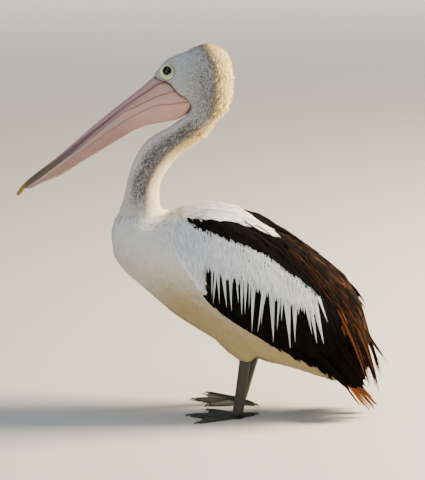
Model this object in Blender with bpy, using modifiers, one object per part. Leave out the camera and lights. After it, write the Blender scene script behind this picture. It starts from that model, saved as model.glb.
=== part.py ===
"""An Australian pelican, life size, standing at rest with its neck drawn back and its bill lowered.

Metres, +Z up. The bird faces -X, its left side is -Y, and it stands on z = 0. Every body form is a
loft through a few named sections; feather tracts are layers of one shell round the trunk, and the
pieces are parted from each other by a thin clearance.
"""

import math

import bmesh
import bpy
import numpy as np
from mathutils import Matrix, Vector

# ---------------------------------------------------------------- driving dimensions
CLEARANCE = 0.0003
REACH = 0.30  # half the depth of a prism that cuts right through the bird

TRUNK_START = Vector((-0.2376, 0.0, 0.4051))
TRUNK_PITCH = math.radians(30.6)
TRUNK_WIDEST = 0.46  # level of the widest line, as a share of the depth
# along the trunk, back above the axis, belly below it, half width
TRUNK_SECTIONS = (
    (-0.096, 0.036, 0.018, 0.010),
    (-0.088, 0.060, -0.004, 0.042),
    (-0.066, 0.078, -0.041, 0.070),
    (-0.030, 0.094, -0.066, 0.088),
    (0.010, 0.113, -0.077, 0.100),
    (0.045, 0.157, -0.081, 0.107),
    (0.100, 0.195, -0.093, 0.114),
    (0.165, 0.212, -0.102, 0.117),
    (0.240, 0.204, -0.101, 0.115),
    (0.310, 0.178, -0.100, 0.109),
    (0.390, 0.128, -0.086, 0.094),
    (0.460, 0.084, -0.063, 0.073),
    (0.530, 0.038, -0.047, 0.050),
    (0.582, 0.004, -0.0345, 0.028),
    (0.602, -0.012, -0.028, 0.010),
)

WING_START = Vector((-0.1733, 0.0, 0.4809))
WING_PITCH = math.radians(39.55)
WING_WIDEST = 0.46
# along the folded wing, top above its axis, underside below it, half width of both wings together
WING_SECTIONS = (
    (-0.050, -0.050, -0.075, 0.030),
    (-0.030, -0.005, -0.130, 0.074),
    (0.000, 0.032, -0.165, 0.104),
    (0.050, 0.095, -0.180, 0.120),
    (0.110, 0.128, -0.180, 0.128),
    (0.180, 0.150, -0.176, 0.131),
    (0.260, 0.160, -0.158, 0.130),
    (0.335, 0.166, -0.132, 0.123),
    (0.390, 0.170, -0.108, 0.116),
    (0.440, 0.160, -0.084, 0.104),
    (0.495, 0.138, -0.056, 0.086),
    (0.550, 0.099, -0.034, 0.064),
    (0.600, 0.056, -0.022, 0.044),
    (0.640, 0.018, -0.014, 0.024),
    (0.662, 0.002, -0.008, 0.010),
)
# the closed wing's front and lower edge, in the wing's own (along, up)
WING_EDGE = (
    (0.030, 0.240), (0.016, 0.100), (0.024, 0.044), (0.034, 0.001), (0.070, -0.034),
    (0.123, -0.054), (0.188, -0.065), (0.240, -0.069), (0.283, -0.064), (0.334, -0.059),
    (0.386, -0.042), (0.431, -0.031), (0.486, -0.025), (0.517, -0.008), (0.568, -0.018),
    (0.596, -0.010), (0.626, 0.008), (0.700, 0.030), (0.700, 0.240),
)
PRIMARIES_FROM = 0.440  # along the wing, where the long tip feathers come out from under it
MANTLE_FRONT = Vector((-0.190, 0.115))  # x and half width of the white back between the wings
MANTLE_TIP = Vector((0.112, 0.0))

COVERT_COUNT = 12
COVERT_SKIN = 0.0045  # thickness of the feather layer that lies on the wing
# the white panel's outline on the wing, in the wing's own (along, up)
COVERT_TOP = (
    (0.033, 0.044), (0.066, 0.064), (0.114, 0.080), (0.160, 0.098), (0.225, 0.112),
    (0.290, 0.119), (0.345, 0.121), (0.392, 0.114), (0.424, 0.098),
)
COVERT_TIPS = (
    (0.212, -0.059), (0.243, -0.050), (0.283, -0.042), (0.331, -0.050), (0.376, -0.037),
    (0.414, -0.020), (0.448, 0.018), (0.468, 0.044), (0.452, 0.080),
)
COVERT_GAPS = (
    (0.148, -0.010), (0.179, 0.008), (0.217, 0.012), (0.241, 0.030), (0.285, 0.049),
    (0.322, 0.056), (0.360, 0.073), (0.392, 0.080), (0.424, 0.096),
)
COVERT_FRONT = ((0.182, -0.062), (0.123, -0.052), (0.076, -0.033), (0.040, 0.001))

NECK_STATIONS = (  # x, z and radius from the nape to the breast
    (-0.0760, 0.7560, 0.0290),
    (-0.0870, 0.7400, 0.0355),
    (-0.1020, 0.7181, 0.0380),
    (-0.1213, 0.6971, 0.0360),
    (-0.1407, 0.6834, 0.0346),
    (-0.1582, 0.6713, 0.0353),
    (-0.1713, 0.6617, 0.0381),
    (-0.1893, 0.6477, 0.0415),
    (-0.2084, 0.6243, 0.0431),
    (-0.2180, 0.6089, 0.0422),
    (-0.2322, 0.5744, 0.0415),
    (-0.2372, 0.5521, 0.0421),
    (-0.2388, 0.5316, 0.0441),
    (-0.2415, 0.5080, 0.0488),
    (-0.2422, 0.4882, 0.0560),
    (-0.2330, 0.4500, 0.0745),
)
NECK_FLATNESS = 0.88  # width over depth
NECK_SHARES = (0.0, 0.36, 0.66, 1.0)  # where the neck is divided, nape to breast

BILL_ROOT = Vector((-0.1706, 0.0, 0.7675))
BILL_TIP = Vector((-0.5481, 0.0, 0.5412))
BILL_SECTIONS = (  # towards the tip, ridge above the axis, pouch below it, half width
    (-0.052, 0.040, -0.030, 0.020),
    (-0.030, 0.062, -0.0480, 0.029),
    (0.000, 0.0685, -0.0515, 0.0325),
    (0.020, 0.0640, -0.0455, 0.0325),
    (0.045, 0.0595, -0.0365, 0.0315),
    (0.078, 0.0560, -0.0245, 0.0295),
    (0.108, 0.0534, -0.0200, 0.0280),
    (0.155, 0.0467, -0.0212, 0.0262),
    (0.202, 0.0400, -0.0221, 0.0245),
    (0.250, 0.0303, -0.0225, 0.0230),
    (0.301, 0.0205, -0.0252, 0.0220),
    (0.330, 0.0170, -0.0250, 0.0215),
    (0.362, 0.0142, -0.0200, 0.0205),
    (0.394, 0.0107, -0.0155, 0.0175),
    (0.420, 0.0058, -0.0115, 0.0115),
    (0.436, 0.0002, -0.0112, 0.0060),
    (0.4455, -0.0060, -0.0125, 0.0020),
)
NAIL_FROM = 0.408
MOUTH_LINE = (  # lower edge of the upper mandible, from behind the gape to past the tip
    (-0.080, -0.010), (-0.0272, 0.0151), (-0.0054, 0.0208), (0.0200, 0.0255), (0.0609, 0.0279),
    (0.0931, 0.0310), (0.1139, 0.0330), (0.1780, 0.0232), (0.2426, 0.0120), (0.3050, 0.0049),
    (0.3681, -0.0024), (0.3983, -0.0035), (0.450, -0.0040),
)
FOLD_LINE = (  # lower edge of the lower mandible, where the pouch hangs from it
    (-0.080, -0.040), (-0.0397, -0.0248), (-0.0240, -0.0185), (-0.0059, -0.0111), (0.0187, 0.0030),
    (0.0441, 0.0089), (0.0709, 0.0115), (0.1139, 0.0120), (0.1780, 0.0080), (0.2426, 0.0010),
    (0.3050, -0.0060), (0.3681, -0.0125), (0.450, -0.0200),
)
FACE_LINE = (  # where the head's feathers meet the bill, forehead point to throat
    (0.0300, 0.1000), (0.0100, 0.0745), (0.0024, 0.0680), (-0.0026, 0.0589), (-0.0083, 0.0525),
    (-0.0201, 0.0426), (-0.0255, 0.0320), (-0.0272, 0.0203), (-0.0289, 0.0087), (-0.0337, -0.0022),
    (-0.0412, -0.0132), (-0.0443, -0.0219), (-0.0435, -0.0325), (-0.0383, -0.0407),
    (-0.0288, -0.0467), (-0.0153, -0.0505), (-0.0020, -0.0535), (0.0200, -0.0478),
    (0.0450, -0.0385), (0.0780, -0.0262), (0.1080, -0.0222), (0.1550, -0.0240), (0.3000, -0.0300),
)

HEAD_SECTIONS = (  # behind the bill's root: crown above the bill's axis, throat below, half width
    (-0.012, 0.065, 0.052, 0.005),
    (-0.004, 0.0735, 0.030, 0.018),
    (0.010, 0.0780, -0.036, 0.027),
    (0.030, 0.0860, -0.066, 0.0325),
    (0.055, 0.0895, -0.084, 0.0360),
    (0.085, 0.0845, -0.098, 0.0385),
    (0.110, 0.0808, -0.088, 0.0385),
    (0.130, 0.0785, -0.071, 0.0360),
    (0.150, 0.0720, -0.043, 0.0300),
    (0.165, 0.0520, -0.013, 0.0200),
    (0.1745, 0.034, 0.014, 0.009),
)
EYE_PLACE = (0.0370, 0.0650)  # behind the bill's root, above its axis
EYE_RADIUS = 0.0135
EYE_INSET = 0.0190  # centre of the eyeball from the middle plane
RING_SIZE = (0.0190, 0.0168)  # half length and half height of the bare skin round the eye
RING_OUT = 0.0105  # how far out of the eyeball's centre the ring's base lies
RING_TILT = math.radians(16.0)
RING_SIDES = 14
EYE_OPENING = 0.0100
RING_PROFILE = (  # share of the way from the opening to the rim, height
    (0.0, -0.0055), (0.0, 0.0005), (0.50, 0.0012), (1.0, -0.0018), (0.85, -0.0070),
)

TAIL_ROOT = Vector((0.200, 0.0, 0.168))
TAIL_PITCH = math.radians(47.4)
TAIL_LENGTH = 0.204
TAIL_FEATHERS = 12
TAIL_SPREAD = math.radians(18.8)
TAIL_TAPER = 0.22  # how much shorter the outer feathers are
TAIL_ARCH = 0.010  # how far the outer feathers hang below the middle ones
TAIL_THICKNESS = 0.005

LEGS = {  # distance from the middle plane, ankle (x, z), x of the sole
    "left": {"y": -0.062, "ankle": (0.021, 0.150), "sole": 0.001},
    "right": {"y": 0.062, "ankle": (0.036, 0.150), "sole": -0.005},
}
THIGH_ROWS = (  # x from the ankle, height over it, half depth, half width
    (-0.050, 0.120, 0.050, 0.040),
    (-0.034, 0.070, 0.056, 0.041),
    (-0.016, 0.030, 0.046, 0.034),
    (-0.003, 0.004, 0.030, 0.024),
    (0.002, -0.010, 0.013, 0.011),
)
TARSUS_ROWS = (  # share of the way down, half depth, half width
    (-0.16, 0.0130, 0.0090),
    (0.00, 0.0155, 0.0100),
    (0.12, 0.0145, 0.0090),
    (0.50, 0.0138, 0.0082),
    (0.82, 0.0140, 0.0090),
    (0.95, 0.0130, 0.0105),
)
TOES = {  # degrees inwards from straight ahead, length
    "outer": (-34.0, 0.104),
    "middle": (-2.0, 0.114),
    "inner": (30.0, 0.084),
    "hind": (150.0, 0.046),
}
TOE_RADIUS = 0.0078
TOE_ROWS = (  # share of the toe's length, swelling of its width, height
    (0.18, 1.25, 0.0138),
    (0.44, 0.98, 0.0115),
    (0.72, 0.80, 0.0100),
    (0.93, 0.62, 0.0085),
    (1.00, 0.60, 0.0062),
)
HUB_HEIGHT = 0.0160
HEEL_RADIUS = 0.0170
WEB_THICKNESS = 0.0026
WEB_LIFT = 0.0008
WEB_BAY = 0.20  # how far the free edge between the front toes is drawn in
WEB_BAY_BEHIND = 0.55
CLAW_LENGTH = 0.0140
CLAW_ROWS = ((0.0, 0.0030, 0.0042), (0.45, 0.0026, 0.0042), (1.0, 0.0007, 0.0012))

COLOURS = {  # linear red, green, blue and roughness
    "white_feather": ((0.80, 0.78, 0.72), 0.75),
    "grey_neck": ((0.52, 0.52, 0.54), 0.85),
    "black_feather": ((0.012, 0.011, 0.011), 0.60),
    "brown_feather": ((0.110, 0.045, 0.020), 0.60),
    "bill": ((0.62, 0.36, 0.33), 0.45),
    "nail": ((0.55, 0.42, 0.16), 0.40),
    "pouch": ((0.66, 0.40, 0.36), 0.50),
    "eye": ((0.010, 0.007, 0.005), 0.08),
    "ring": ((0.72, 0.68, 0.34), 0.50),
    "leg": ((0.060, 0.075, 0.090), 0.60),
    "claw": ((0.040, 0.036, 0.034), 0.45),
}


# ---------------------------------------------------------------- scene, materials, collections
def clear_scene():
    for obj in list(bpy.data.objects):
        bpy.data.objects.remove(obj)


def new_collection(name):
    made = bpy.data.collections.new(name)
    bpy.context.scene.collection.children.link(made)
    return made


def material(name):
    """The Principled material of that name, made the first time that it is asked for."""
    made = bpy.data.materials.get(name)
    if made is None:
        colour, roughness = COLOURS[name]
        made = bpy.data.materials.new(name)
        made.use_nodes = True
        shader = made.node_tree.nodes["Principled BSDF"]
        shader.inputs["Base Color"].default_value = (*colour, 1.0)
        shader.inputs["Roughness"].default_value = roughness
        made.diffuse_color = (*colour, 1.0)
    return made


clear_scene()
BIRD = new_collection("pelican")
TOOLS = new_collection("cutters")


def place(name, mesh, finish=None):
    """Links a mesh as a part of the bird, or as a hidden tool if it has no finish."""
    obj = bpy.data.objects.new(name, mesh)
    if finish:
        mesh.materials.append(material(finish))
        mesh.shade_smooth()
        BIRD.objects.link(obj)
    else:
        TOOLS.objects.link(obj)
        obj.hide_render = True
        obj.display_type = "WIRE"
    return obj


def closed_mesh(name, shape):
    """A mesh of triangles from a closed bmesh, its faces turned outwards."""
    bmesh.ops.triangulate(shape, faces=shape.faces)
    bmesh.ops.recalc_face_normals(shape, faces=shape.faces)
    if shape.calc_volume(signed=True) < 0.0:
        bmesh.ops.reverse_faces(shape, faces=shape.faces)
    mesh = bpy.data.meshes.new(name)
    shape.to_mesh(mesh)
    shape.free()
    return mesh


# ---------------------------------------------------------------- lofts
def smooth_through(rows, count, rounded_ends=True):
    """Rows of numbers read along a smooth curve through the given rows, closer at its ends."""
    rows = np.array(rows, float)
    steps = np.linalg.norm(np.diff(rows[:, :2], axis=0), axis=1)
    at = np.concatenate([[0.0], np.cumsum(steps)])
    slopes = np.gradient(rows, at, axis=0)
    share = np.linspace(0.0, 1.0, count)
    if rounded_ends:
        share = 0.5 * share + 0.5 * (1.0 - np.cos(math.pi * share)) / 2.0
    made = []
    for want in share * at[-1]:
        i = min(int(np.searchsorted(at, want, side="right")) - 1, len(at) - 2)
        width = at[i + 1] - at[i]
        t = (want - at[i]) / width
        made.append(
            rows[i] * (2 * t**3 - 3 * t**2 + 1)
            + slopes[i] * width * (t**3 - 2 * t**2 + t)
            + rows[i + 1] * (3 * t**2 - 2 * t**3)
            + slopes[i + 1] * width * (t**3 - t**2)
        )
    return made


def ring(centre, side, up, half_width, rise, drop, sides, power=2.0, top_power=None):
    """A closed ring of points: a rounded section of its own height above and below its centre."""
    points = []
    for k in range(sides):
        angle = 2.0 * math.pi * k / sides
        across, high = math.cos(angle), math.sin(angle)
        shape = (top_power or power) if high > 0 else power
        width = half_width * math.copysign(abs(across) ** (2.0 / shape), across)
        height = (rise if high > 0 else drop) * math.copysign(abs(high) ** (2.0 / shape), high)
        points.append(centre + side * width + up * height)
    return points


def loft_mesh(name, rings):
    """One closed skin through the rings, each end closed by a fan round its own middle."""
    shape = bmesh.new()
    loops = [[shape.verts.new(p) for p in points] for points in rings]
    sides = len(loops[0])
    for near, far in zip(loops, loops[1:]):
        for k in range(sides):
            nxt = (k + 1) % sides
            shape.faces.new((near[k], near[nxt], far[nxt], far[k]))
    for loop in (loops[0], loops[-1]):
        middle = shape.verts.new(sum((v.co for v in loop), Vector()) / sides)
        for k in range(sides):
            shape.faces.new((loop[k], loop[(k + 1) % sides], middle))
    return closed_mesh(name, shape)


ACROSS = Vector((0.0, 1.0, 0.0))


def axes_of(pitch):
    """The unit vectors along an axis that falls by pitch towards the tail, and up from it."""
    return (
        Vector((math.cos(pitch), 0.0, -math.sin(pitch))),
        Vector((math.sin(pitch), 0.0, math.cos(pitch))),
    )


def body_rings(start, pitch, sections, widest, count, sides, power):
    """Rings along a straight axis, from rows of (along, top, underside, half width)."""
    along, up = axes_of(pitch)
    rings = []
    for at, top, under, half_width in smooth_through(sections, count):
        level = under + widest * (top - under)
        centre = start + along * at + up * level
        rings.append(ring(centre, ACROSS, up, half_width, top - level, level - under, sides, power))
    return rings


# ---------------------------------------------------------------- cutting and joining
def add_boolean(obj, other, operation, solver="EXACT"):
    cut = obj.modifiers.new(f"{operation.lower()}_{other.name}", "BOOLEAN")
    cut.operation = operation
    cut.object = other
    cut.solver = solver
    return obj


def finished_mesh(obj):
    """The object's mesh as its modifiers leave it."""
    graph = bpy.context.evaluated_depsgraph_get()
    return bpy.data.meshes.new_from_object(obj.evaluated_get(graph))


def grown(obj, by=CLEARANCE):
    """A hidden copy of a finished part, swollen along its normals, to cut its neighbours with."""
    name = f"{obj.name}_grown_{round(by * 1e5)}"
    if name in bpy.data.objects:
        return bpy.data.objects[name]
    tool = place(name, finished_mesh(obj))
    swell = tool.modifiers.new("swell", "DISPLACE")
    swell.mid_level = 0.0
    swell.strength = by
    return tool


def mirrored(obj, name, shift=0.0):
    """The same part on the bird's other side, moved along the bird by shift."""
    shape = bmesh.new()
    shape.from_mesh(finished_mesh(obj))
    shape.transform(Matrix.Translation((shift, 0.0, 0.0)) @ Matrix.Diagonal((1.0, -1.0, 1.0, 1.0)))
    bmesh.ops.reverse_faces(shape, faces=shape.faces)
    mesh = bpy.data.meshes.new(name)
    shape.to_mesh(mesh)
    shape.free()
    other = place(name, mesh, obj.data.materials[0].name)
    return other


def clear_of(obj, *neighbours, solver="EXACT"):
    """Cuts the object back from each neighbour, so that they meet with a thin gap."""
    for neighbour in neighbours:
        add_boolean(obj, grown(neighbour), "DIFFERENCE", solver)
    return obj


def prism(name, outline, y_low=-REACH, y_high=REACH):
    """A hidden slab whose side view is the outline, given as (x, z) points."""
    shape = bmesh.new()
    base = shape.faces.new([shape.verts.new((x, y_low, z)) for x, z in outline])
    raised = bmesh.ops.extrude_face_region(shape, geom=[base], use_keep_orig=True)
    corners = [v for v in raised["geom"] if isinstance(v, bmesh.types.BMVert)]
    bmesh.ops.translate(shape, verts=corners, vec=(0.0, y_high - y_low, 0.0))
    return place(name, closed_mesh(name, shape))


def in_side_view(start, pitch, points):
    """(x, z) of points given as (along, up) from an axis."""
    along, up = axes_of(pitch)
    placed = [start + along * a + up * b for a, b in points]
    return [(p.x, p.z) for p in placed]


# ---------------------------------------------------------------- trunk and neck
def make_trunk():
    rings = body_rings(TRUNK_START, TRUNK_PITCH, TRUNK_SECTIONS, TRUNK_WIDEST, 16, 20, 2.25)
    return place("trunk", loft_mesh("trunk", rings), "white_feather")


def neck_rings(low, high, count):
    """Rings square to the neck's curve, between two shares of its length."""
    line = smooth_through(NECK_STATIONS, 121, rounded_ends=False)
    rings = []
    for share in np.linspace(low, high, count):
        at = min(int(share * 120), 119)
        part = share * 120 - at
        x, z, radius = line[at] * (1.0 - part) + line[at + 1] * part
        ahead, behind = line[min(at + 2, 120)], line[max(at - 1, 0)]
        heading = Vector((ahead[0] - behind[0], 0.0, ahead[1] - behind[1])).normalized()
        up = ACROSS.cross(heading)
        rings.append(
            ring(Vector((x, 0.0, z)), ACROSS, up, radius * NECK_FLATNESS, radius, radius, 16)
        )
    return rings


def make_neck():
    """Three lengths of one S-shaped tube, parted by the clearance."""
    lengths = []
    gap = CLEARANCE / 0.42  # the neck is about 0.42 m long, and the shares run from 0 to 1
    for name, low, high, finish in zip(
        ("neck_upper", "neck_middle", "neck_lower"),
        NECK_SHARES,
        NECK_SHARES[1:],
        ("grey_neck", "grey_neck", "white_feather"),
    ):
        rings = neck_rings(low + gap / 2, high - gap / 2, 7)
        lengths.append(place(name, loft_mesh(name, rings), finish))
    return lengths


# ---------------------------------------------------------------- head, bill and eyes
TO_TIP = (BILL_TIP - BILL_ROOT).normalized()
BILL_UP = Vector((TO_TIP.z, 0.0, -TO_TIP.x))
BILL_UP = BILL_UP if BILL_UP.z > 0 else -BILL_UP


def by_bill(towards_tip, above, y=0.0):
    """A point given along the bill from its root, and above its axis."""
    return BILL_ROOT + TO_TIP * towards_tip + BILL_UP * above + ACROSS * y


def bill_outline(points):
    placed = [by_bill(a, b) for a, b in points]
    return [(p.x, p.z) for p in placed]


def bill_rings():
    rings = []
    for at, ridge, pouch, half_width in smooth_through(BILL_SECTIONS, 16):
        level = min(0.18 * ridge, ridge - 0.3 * (ridge - pouch))
        rings.append(
            ring(
                by_bill(at, level), ACROSS, BILL_UP, half_width, ridge - level, level - pouch,
                12, power=2.1, top_power=1.5,
            )
        )
    return rings


def face_prism(name, shift):
    """Everything on the bill's side of the line where feathers end, moved forward by shift."""
    line = [(a + shift, b) for a, b in FACE_LINE]
    return prism(name, bill_outline(line + [(0.60, -0.05), (0.60, 0.12)]))


def mouth_prism(name, line, offset, far):
    """Everything above, or below, a line along the bill moved by offset."""
    moved = [(a, b + offset) for a, b in line]
    return prism(name, bill_outline(moved + [(line[-1][0], far), (line[0][0], far)]))


def make_bill():
    whole = place("bill_whole", loft_mesh("bill_whole", bill_rings()))
    add_boolean(whole, face_prism("bill_side_of_face", CLEARANCE / 2), "INTERSECT")
    nail_side = [(NAIL_FROM, 0.1), (NAIL_FROM, -0.1), (0.5, -0.1), (0.5, 0.1)]
    root_side = [(NAIL_FROM - CLEARANCE, 0.1), (NAIL_FROM - CLEARANCE, -0.1)]
    root_side += [(-0.1, -0.1), (-0.1, 0.1)]
    nail_cut = prism("nail_side", bill_outline(nail_side))
    root_cut = prism("root_side", bill_outline(root_side))
    half = CLEARANCE / 2
    over_mouth = mouth_prism("over_mouth", MOUTH_LINE, half, 0.15)
    under_mouth = mouth_prism("under_mouth", MOUTH_LINE, -half, -0.15)
    over_fold = mouth_prism("over_fold", FOLD_LINE, half, 0.15)
    under_fold = mouth_prism("under_fold", FOLD_LINE, -half, -0.15)
    pieces = {
        "bill_upper": ("bill", (over_mouth, root_cut)),
        "bill_nail": ("nail", (nail_cut,)),
        "bill_lower": ("bill", (under_mouth, over_fold, root_cut)),
        "pouch": ("pouch", (under_fold, root_cut)),
    }
    made = []
    for name, (finish, cuts) in pieces.items():
        piece = place(name, finished_mesh(whole), finish)
        for cut in cuts:
            add_boolean(piece, cut, "INTERSECT", "MANIFOLD")
        made.append(piece)
    return made


def head_rings():
    rings = []
    for at, crown, throat, half_width in smooth_through(HEAD_SECTIONS, 12):
        level = throat + 0.55 * (crown - throat)
        centre = by_bill(-at, level)
        rings.append(
            ring(centre, ACROSS, BILL_UP, half_width, crown - level, level - throat, 16, power=2.1)
        )
    return rings


def ball(name, centre, radii, turn, segments, rows, finish=None):
    """A sphere stretched to three radii, turned about the bird's long axis, at a centre."""
    shape = bmesh.new()
    bmesh.ops.create_uvsphere(shape, u_segments=segments, v_segments=rows, radius=1.0)
    to_side = Matrix.Rotation(math.radians(90.0), 4, "X")
    stretch = Matrix.Diagonal((*radii, 1.0))
    shape.transform(Matrix.Translation(centre) @ turn @ stretch @ to_side)
    return place(name, closed_mesh(name, shape), finish)


def ring_of_skin(name, centre, turn, hand):
    """The bare ring round the eye: an oval collar, low at its rim and open in the middle."""
    shape = bmesh.new()
    loops = []
    for reach, height in RING_PROFILE:
        loop = []
        for k in range(RING_SIDES):
            angle = 2.0 * math.pi * k / RING_SIDES
            point = Vector((
                math.cos(angle) * (EYE_OPENING + (RING_SIZE[0] - EYE_OPENING) * reach),
                hand * height,
                math.sin(angle) * (EYE_OPENING + (RING_SIZE[1] - EYE_OPENING) * reach),
            ))
            loop.append(shape.verts.new(centre + turn @ point))
        loops.append(loop)
    for near, far in zip(loops, loops[1:] + loops[:1]):
        for k in range(RING_SIDES):
            nxt = (k + 1) % RING_SIDES
            shape.faces.new((near[k], near[nxt], far[nxt], far[k]))
    return place(name, closed_mesh(name, shape), "ring")


def make_eyes():
    """Each side: an eyeball in a ring of bare skin."""
    eyes, rings = [], []
    for name, hand in (("left", -1.0), ("right", 1.0)):
        turn = Matrix.Rotation(-hand * RING_TILT, 4, "X")
        eye_centre = by_bill(-EYE_PLACE[0], EYE_PLACE[1], hand * EYE_INSET)
        outwards = turn @ Vector((0.0, hand, 0.0))
        ring_centre = eye_centre + outwards * RING_OUT
        eye = ball(f"eye_{name}", eye_centre, (EYE_RADIUS,) * 3, turn, 12, 7, "eye")
        skin = ring_of_skin(f"eye_ring_{name}", ring_centre, turn, hand)
        eyes.append(eye)
        rings.append(clear_of(skin, eye, solver="MANIFOLD"))
    return eyes, rings


def make_head(neck_upper, eyes, rings):
    head = place("head", loft_mesh("head", head_rings()), "white_feather")
    add_boolean(head, face_prism("head_side_of_face", -CLEARANCE / 2), "DIFFERENCE")
    clear_of(head, *rings)
    clear_of(head, *eyes)
    clear_of(neck_upper, head, solver="MANIFOLD")
    add_boolean(neck_upper, bpy.data.objects["head_side_of_face"], "DIFFERENCE", "MANIFOLD")
    return head


# ---------------------------------------------------------------- wings
def wing_shell(name, finish=None):
    """The closed form that both folded wings make together round the trunk."""
    rings = body_rings(WING_START, WING_PITCH, WING_SECTIONS, WING_WIDEST, 14, 20, 2.35)
    return place(name, loft_mesh(name, rings), finish)


def side_slab(name, outline, hand):
    """A prism over a wing outline, on one side of the bird only."""
    near, far = sorted((hand * 0.0008, hand * REACH))
    return prism(name, in_side_view(WING_START, WING_PITCH, outline), near, far)


def mantle_wedge():
    """The V between the wings, seen from above, where the white back shows."""
    shape = bmesh.new()
    plan = (
        (MANTLE_FRONT.x, -MANTLE_FRONT.y), (MANTLE_TIP.x, 0.0), (MANTLE_FRONT.x, MANTLE_FRONT.y),
    )
    base = shape.faces.new([shape.verts.new((x, y, 0.30)) for x, y in plan])
    raised = bmesh.ops.extrude_face_region(shape, geom=[base], use_keep_orig=True)
    corners = [v for v in raised["geom"] if isinstance(v, bmesh.types.BMVert)]
    bmesh.ops.translate(shape, verts=corners, vec=(0.0, 0.0, 0.30))
    return place("mantle_wedge", closed_mesh("mantle_wedge", shape))


def comb(top, tips, gaps, front, count):
    """Outline of a row of pointed feathers: back along the top, then forward from tip to tip."""
    tip_line = smooth_through(tips, 2 * count + 1, rounded_ends=False)
    gap_line = smooth_through(gaps, 2 * count + 1, rounded_ends=False)
    outline = [tuple(p) for p in smooth_through(top, 9, rounded_ends=False)]
    for k in range(2 * count - 1, -1, -1):
        if k % 2:
            short = 0.12 + 0.12 * math.cos(2.4 * k)
            point = tip_line[k] * (1.0 - short) + gap_line[k] * short
        else:
            point = gap_line[k]
        outline.append(tuple(point))
    return outline + list(front)


def make_wings(trunk, neck_lower):
    """The left wing, its long tip feathers and the layer of coverts on it; then the right ones."""
    shell = wing_shell("wing_shell")
    outer = finished_mesh(grown(shell, COVERT_SKIN))
    inner = grown(shell)

    wing = place("wing_left", finished_mesh(shell), "black_feather")
    add_boolean(wing, side_slab("wing_side", WING_EDGE, -1.0), "INTERSECT")
    clear_of(wing, trunk, neck_lower)
    add_boolean(wing, mantle_wedge(), "DIFFERENCE")

    ahead = [(-0.2, 0.3), (PRIMARIES_FROM, 0.3)]
    ahead += [(PRIMARIES_FROM + 0.03 * math.sin(k * 1.4), 0.16 - 0.05 * k) for k in range(6)]
    ahead += [(PRIMARIES_FROM, -0.3), (-0.2, -0.3)]
    front = side_slab("wing_front", ahead, -1.0)
    tip = place("primaries_left", finished_mesh(wing), "black_feather")
    add_boolean(tip, grown(front), "DIFFERENCE")
    add_boolean(wing, front, "INTERSECT")

    coverts = place("coverts_left", outer, "white_feather")
    comb_line = comb(COVERT_TOP, COVERT_TIPS, COVERT_GAPS, COVERT_FRONT, COVERT_COUNT)
    add_boolean(coverts, side_slab("covert_comb", comb_line, -1.0), "INTERSECT")
    add_boolean(coverts, inner, "DIFFERENCE")

    made = [wing, tip, coverts]
    return made + [mirrored(part, part.name.replace("left", "right")) for part in made]


# ---------------------------------------------------------------- tail
def make_tail(trunk, tips):
    """A fan of stiff feathers, arched across, with its rows running from root to tip."""
    along, up = axes_of(TAIL_PITCH)
    shape = bmesh.new()
    rows, per_feather = 3, 2
    columns = TAIL_FEATHERS * per_feather + 1
    grid = []
    for i in range(columns):
        across = 2.0 * i / (columns - 1) - 1.0
        turn = TAIL_SPREAD * across
        heading = along * math.cos(turn) + ACROSS * math.sin(turn)
        length = TAIL_LENGTH * (1.0 - TAIL_TAPER * across**2) * (1.0 if i % 2 else 0.93)
        root = TAIL_ROOT + ACROSS * (0.020 * across)
        sag = up * (-TAIL_ARCH * across**2)
        line = []
        for j in range(rows + 1):
            share = j / rows
            line.append(shape.verts.new(root + heading * (length * share) + sag * share**0.7))
        grid.append(line)
    for i in range(columns - 1):
        for j in range(rows):
            shape.faces.new((grid[i][j], grid[i][j + 1], grid[i + 1][j + 1], grid[i + 1][j]))
    bmesh.ops.recalc_face_normals(shape, faces=shape.faces)
    mesh = bpy.data.meshes.new("tail")
    shape.to_mesh(mesh)
    shape.free()
    tail = place("tail", mesh, "brown_feather")
    thick = tail.modifiers.new("thickness", "SOLIDIFY")
    thick.thickness = TAIL_THICKNESS
    thick.offset = 0.0
    clear_of(tail, trunk, *tips)
    return tail


# ---------------------------------------------------------------- legs and feet
def make_thigh(name, leg, trunk):
    """The feathered upper leg, from inside the trunk down to the ankle."""
    ankle_x, ankle_z = leg["ankle"]
    rings = []
    for x, z, depth, width in smooth_through(THIGH_ROWS, 6, rounded_ends=False):
        centre = Vector((ankle_x + x, leg["y"] * 0.96, ankle_z + z))
        rings.append(ring(centre, ACROSS, Vector((1.0, 0.0, 0.0)), width, depth, depth, 12))
    thigh = place(f"thigh_{name}", loft_mesh(f"thigh_{name}", rings), "white_feather")
    return clear_of(thigh, trunk)


def make_tarsus(name, leg, foot, thigh, trunk):
    """The bare shank, deeper than it is wide, from the ankle to the toes."""
    ankle_x, ankle_z = leg["ankle"]
    rings = []
    for share, depth, width in TARSUS_ROWS:
        x = ankle_x + (leg["sole"] - ankle_x) * share
        z = ankle_z * (1.0 - share)
        rings.append(
            ring(Vector((x, leg["y"], z)), ACROSS, Vector((1.0, 0.0, 0.0)), width, depth, depth, 10)
        )
    tarsus = place(f"tarsus_{name}", loft_mesh(f"tarsus_{name}", rings), "leg")
    return clear_of(tarsus, foot, thigh, trunk, solver="MANIFOLD")


def toe_heading(angle, hand):
    """Unit vector on the floor at an angle inwards from straight ahead."""
    turn = math.radians(angle) * hand
    return Vector((-math.cos(turn), -math.sin(turn), 0.0))


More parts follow.
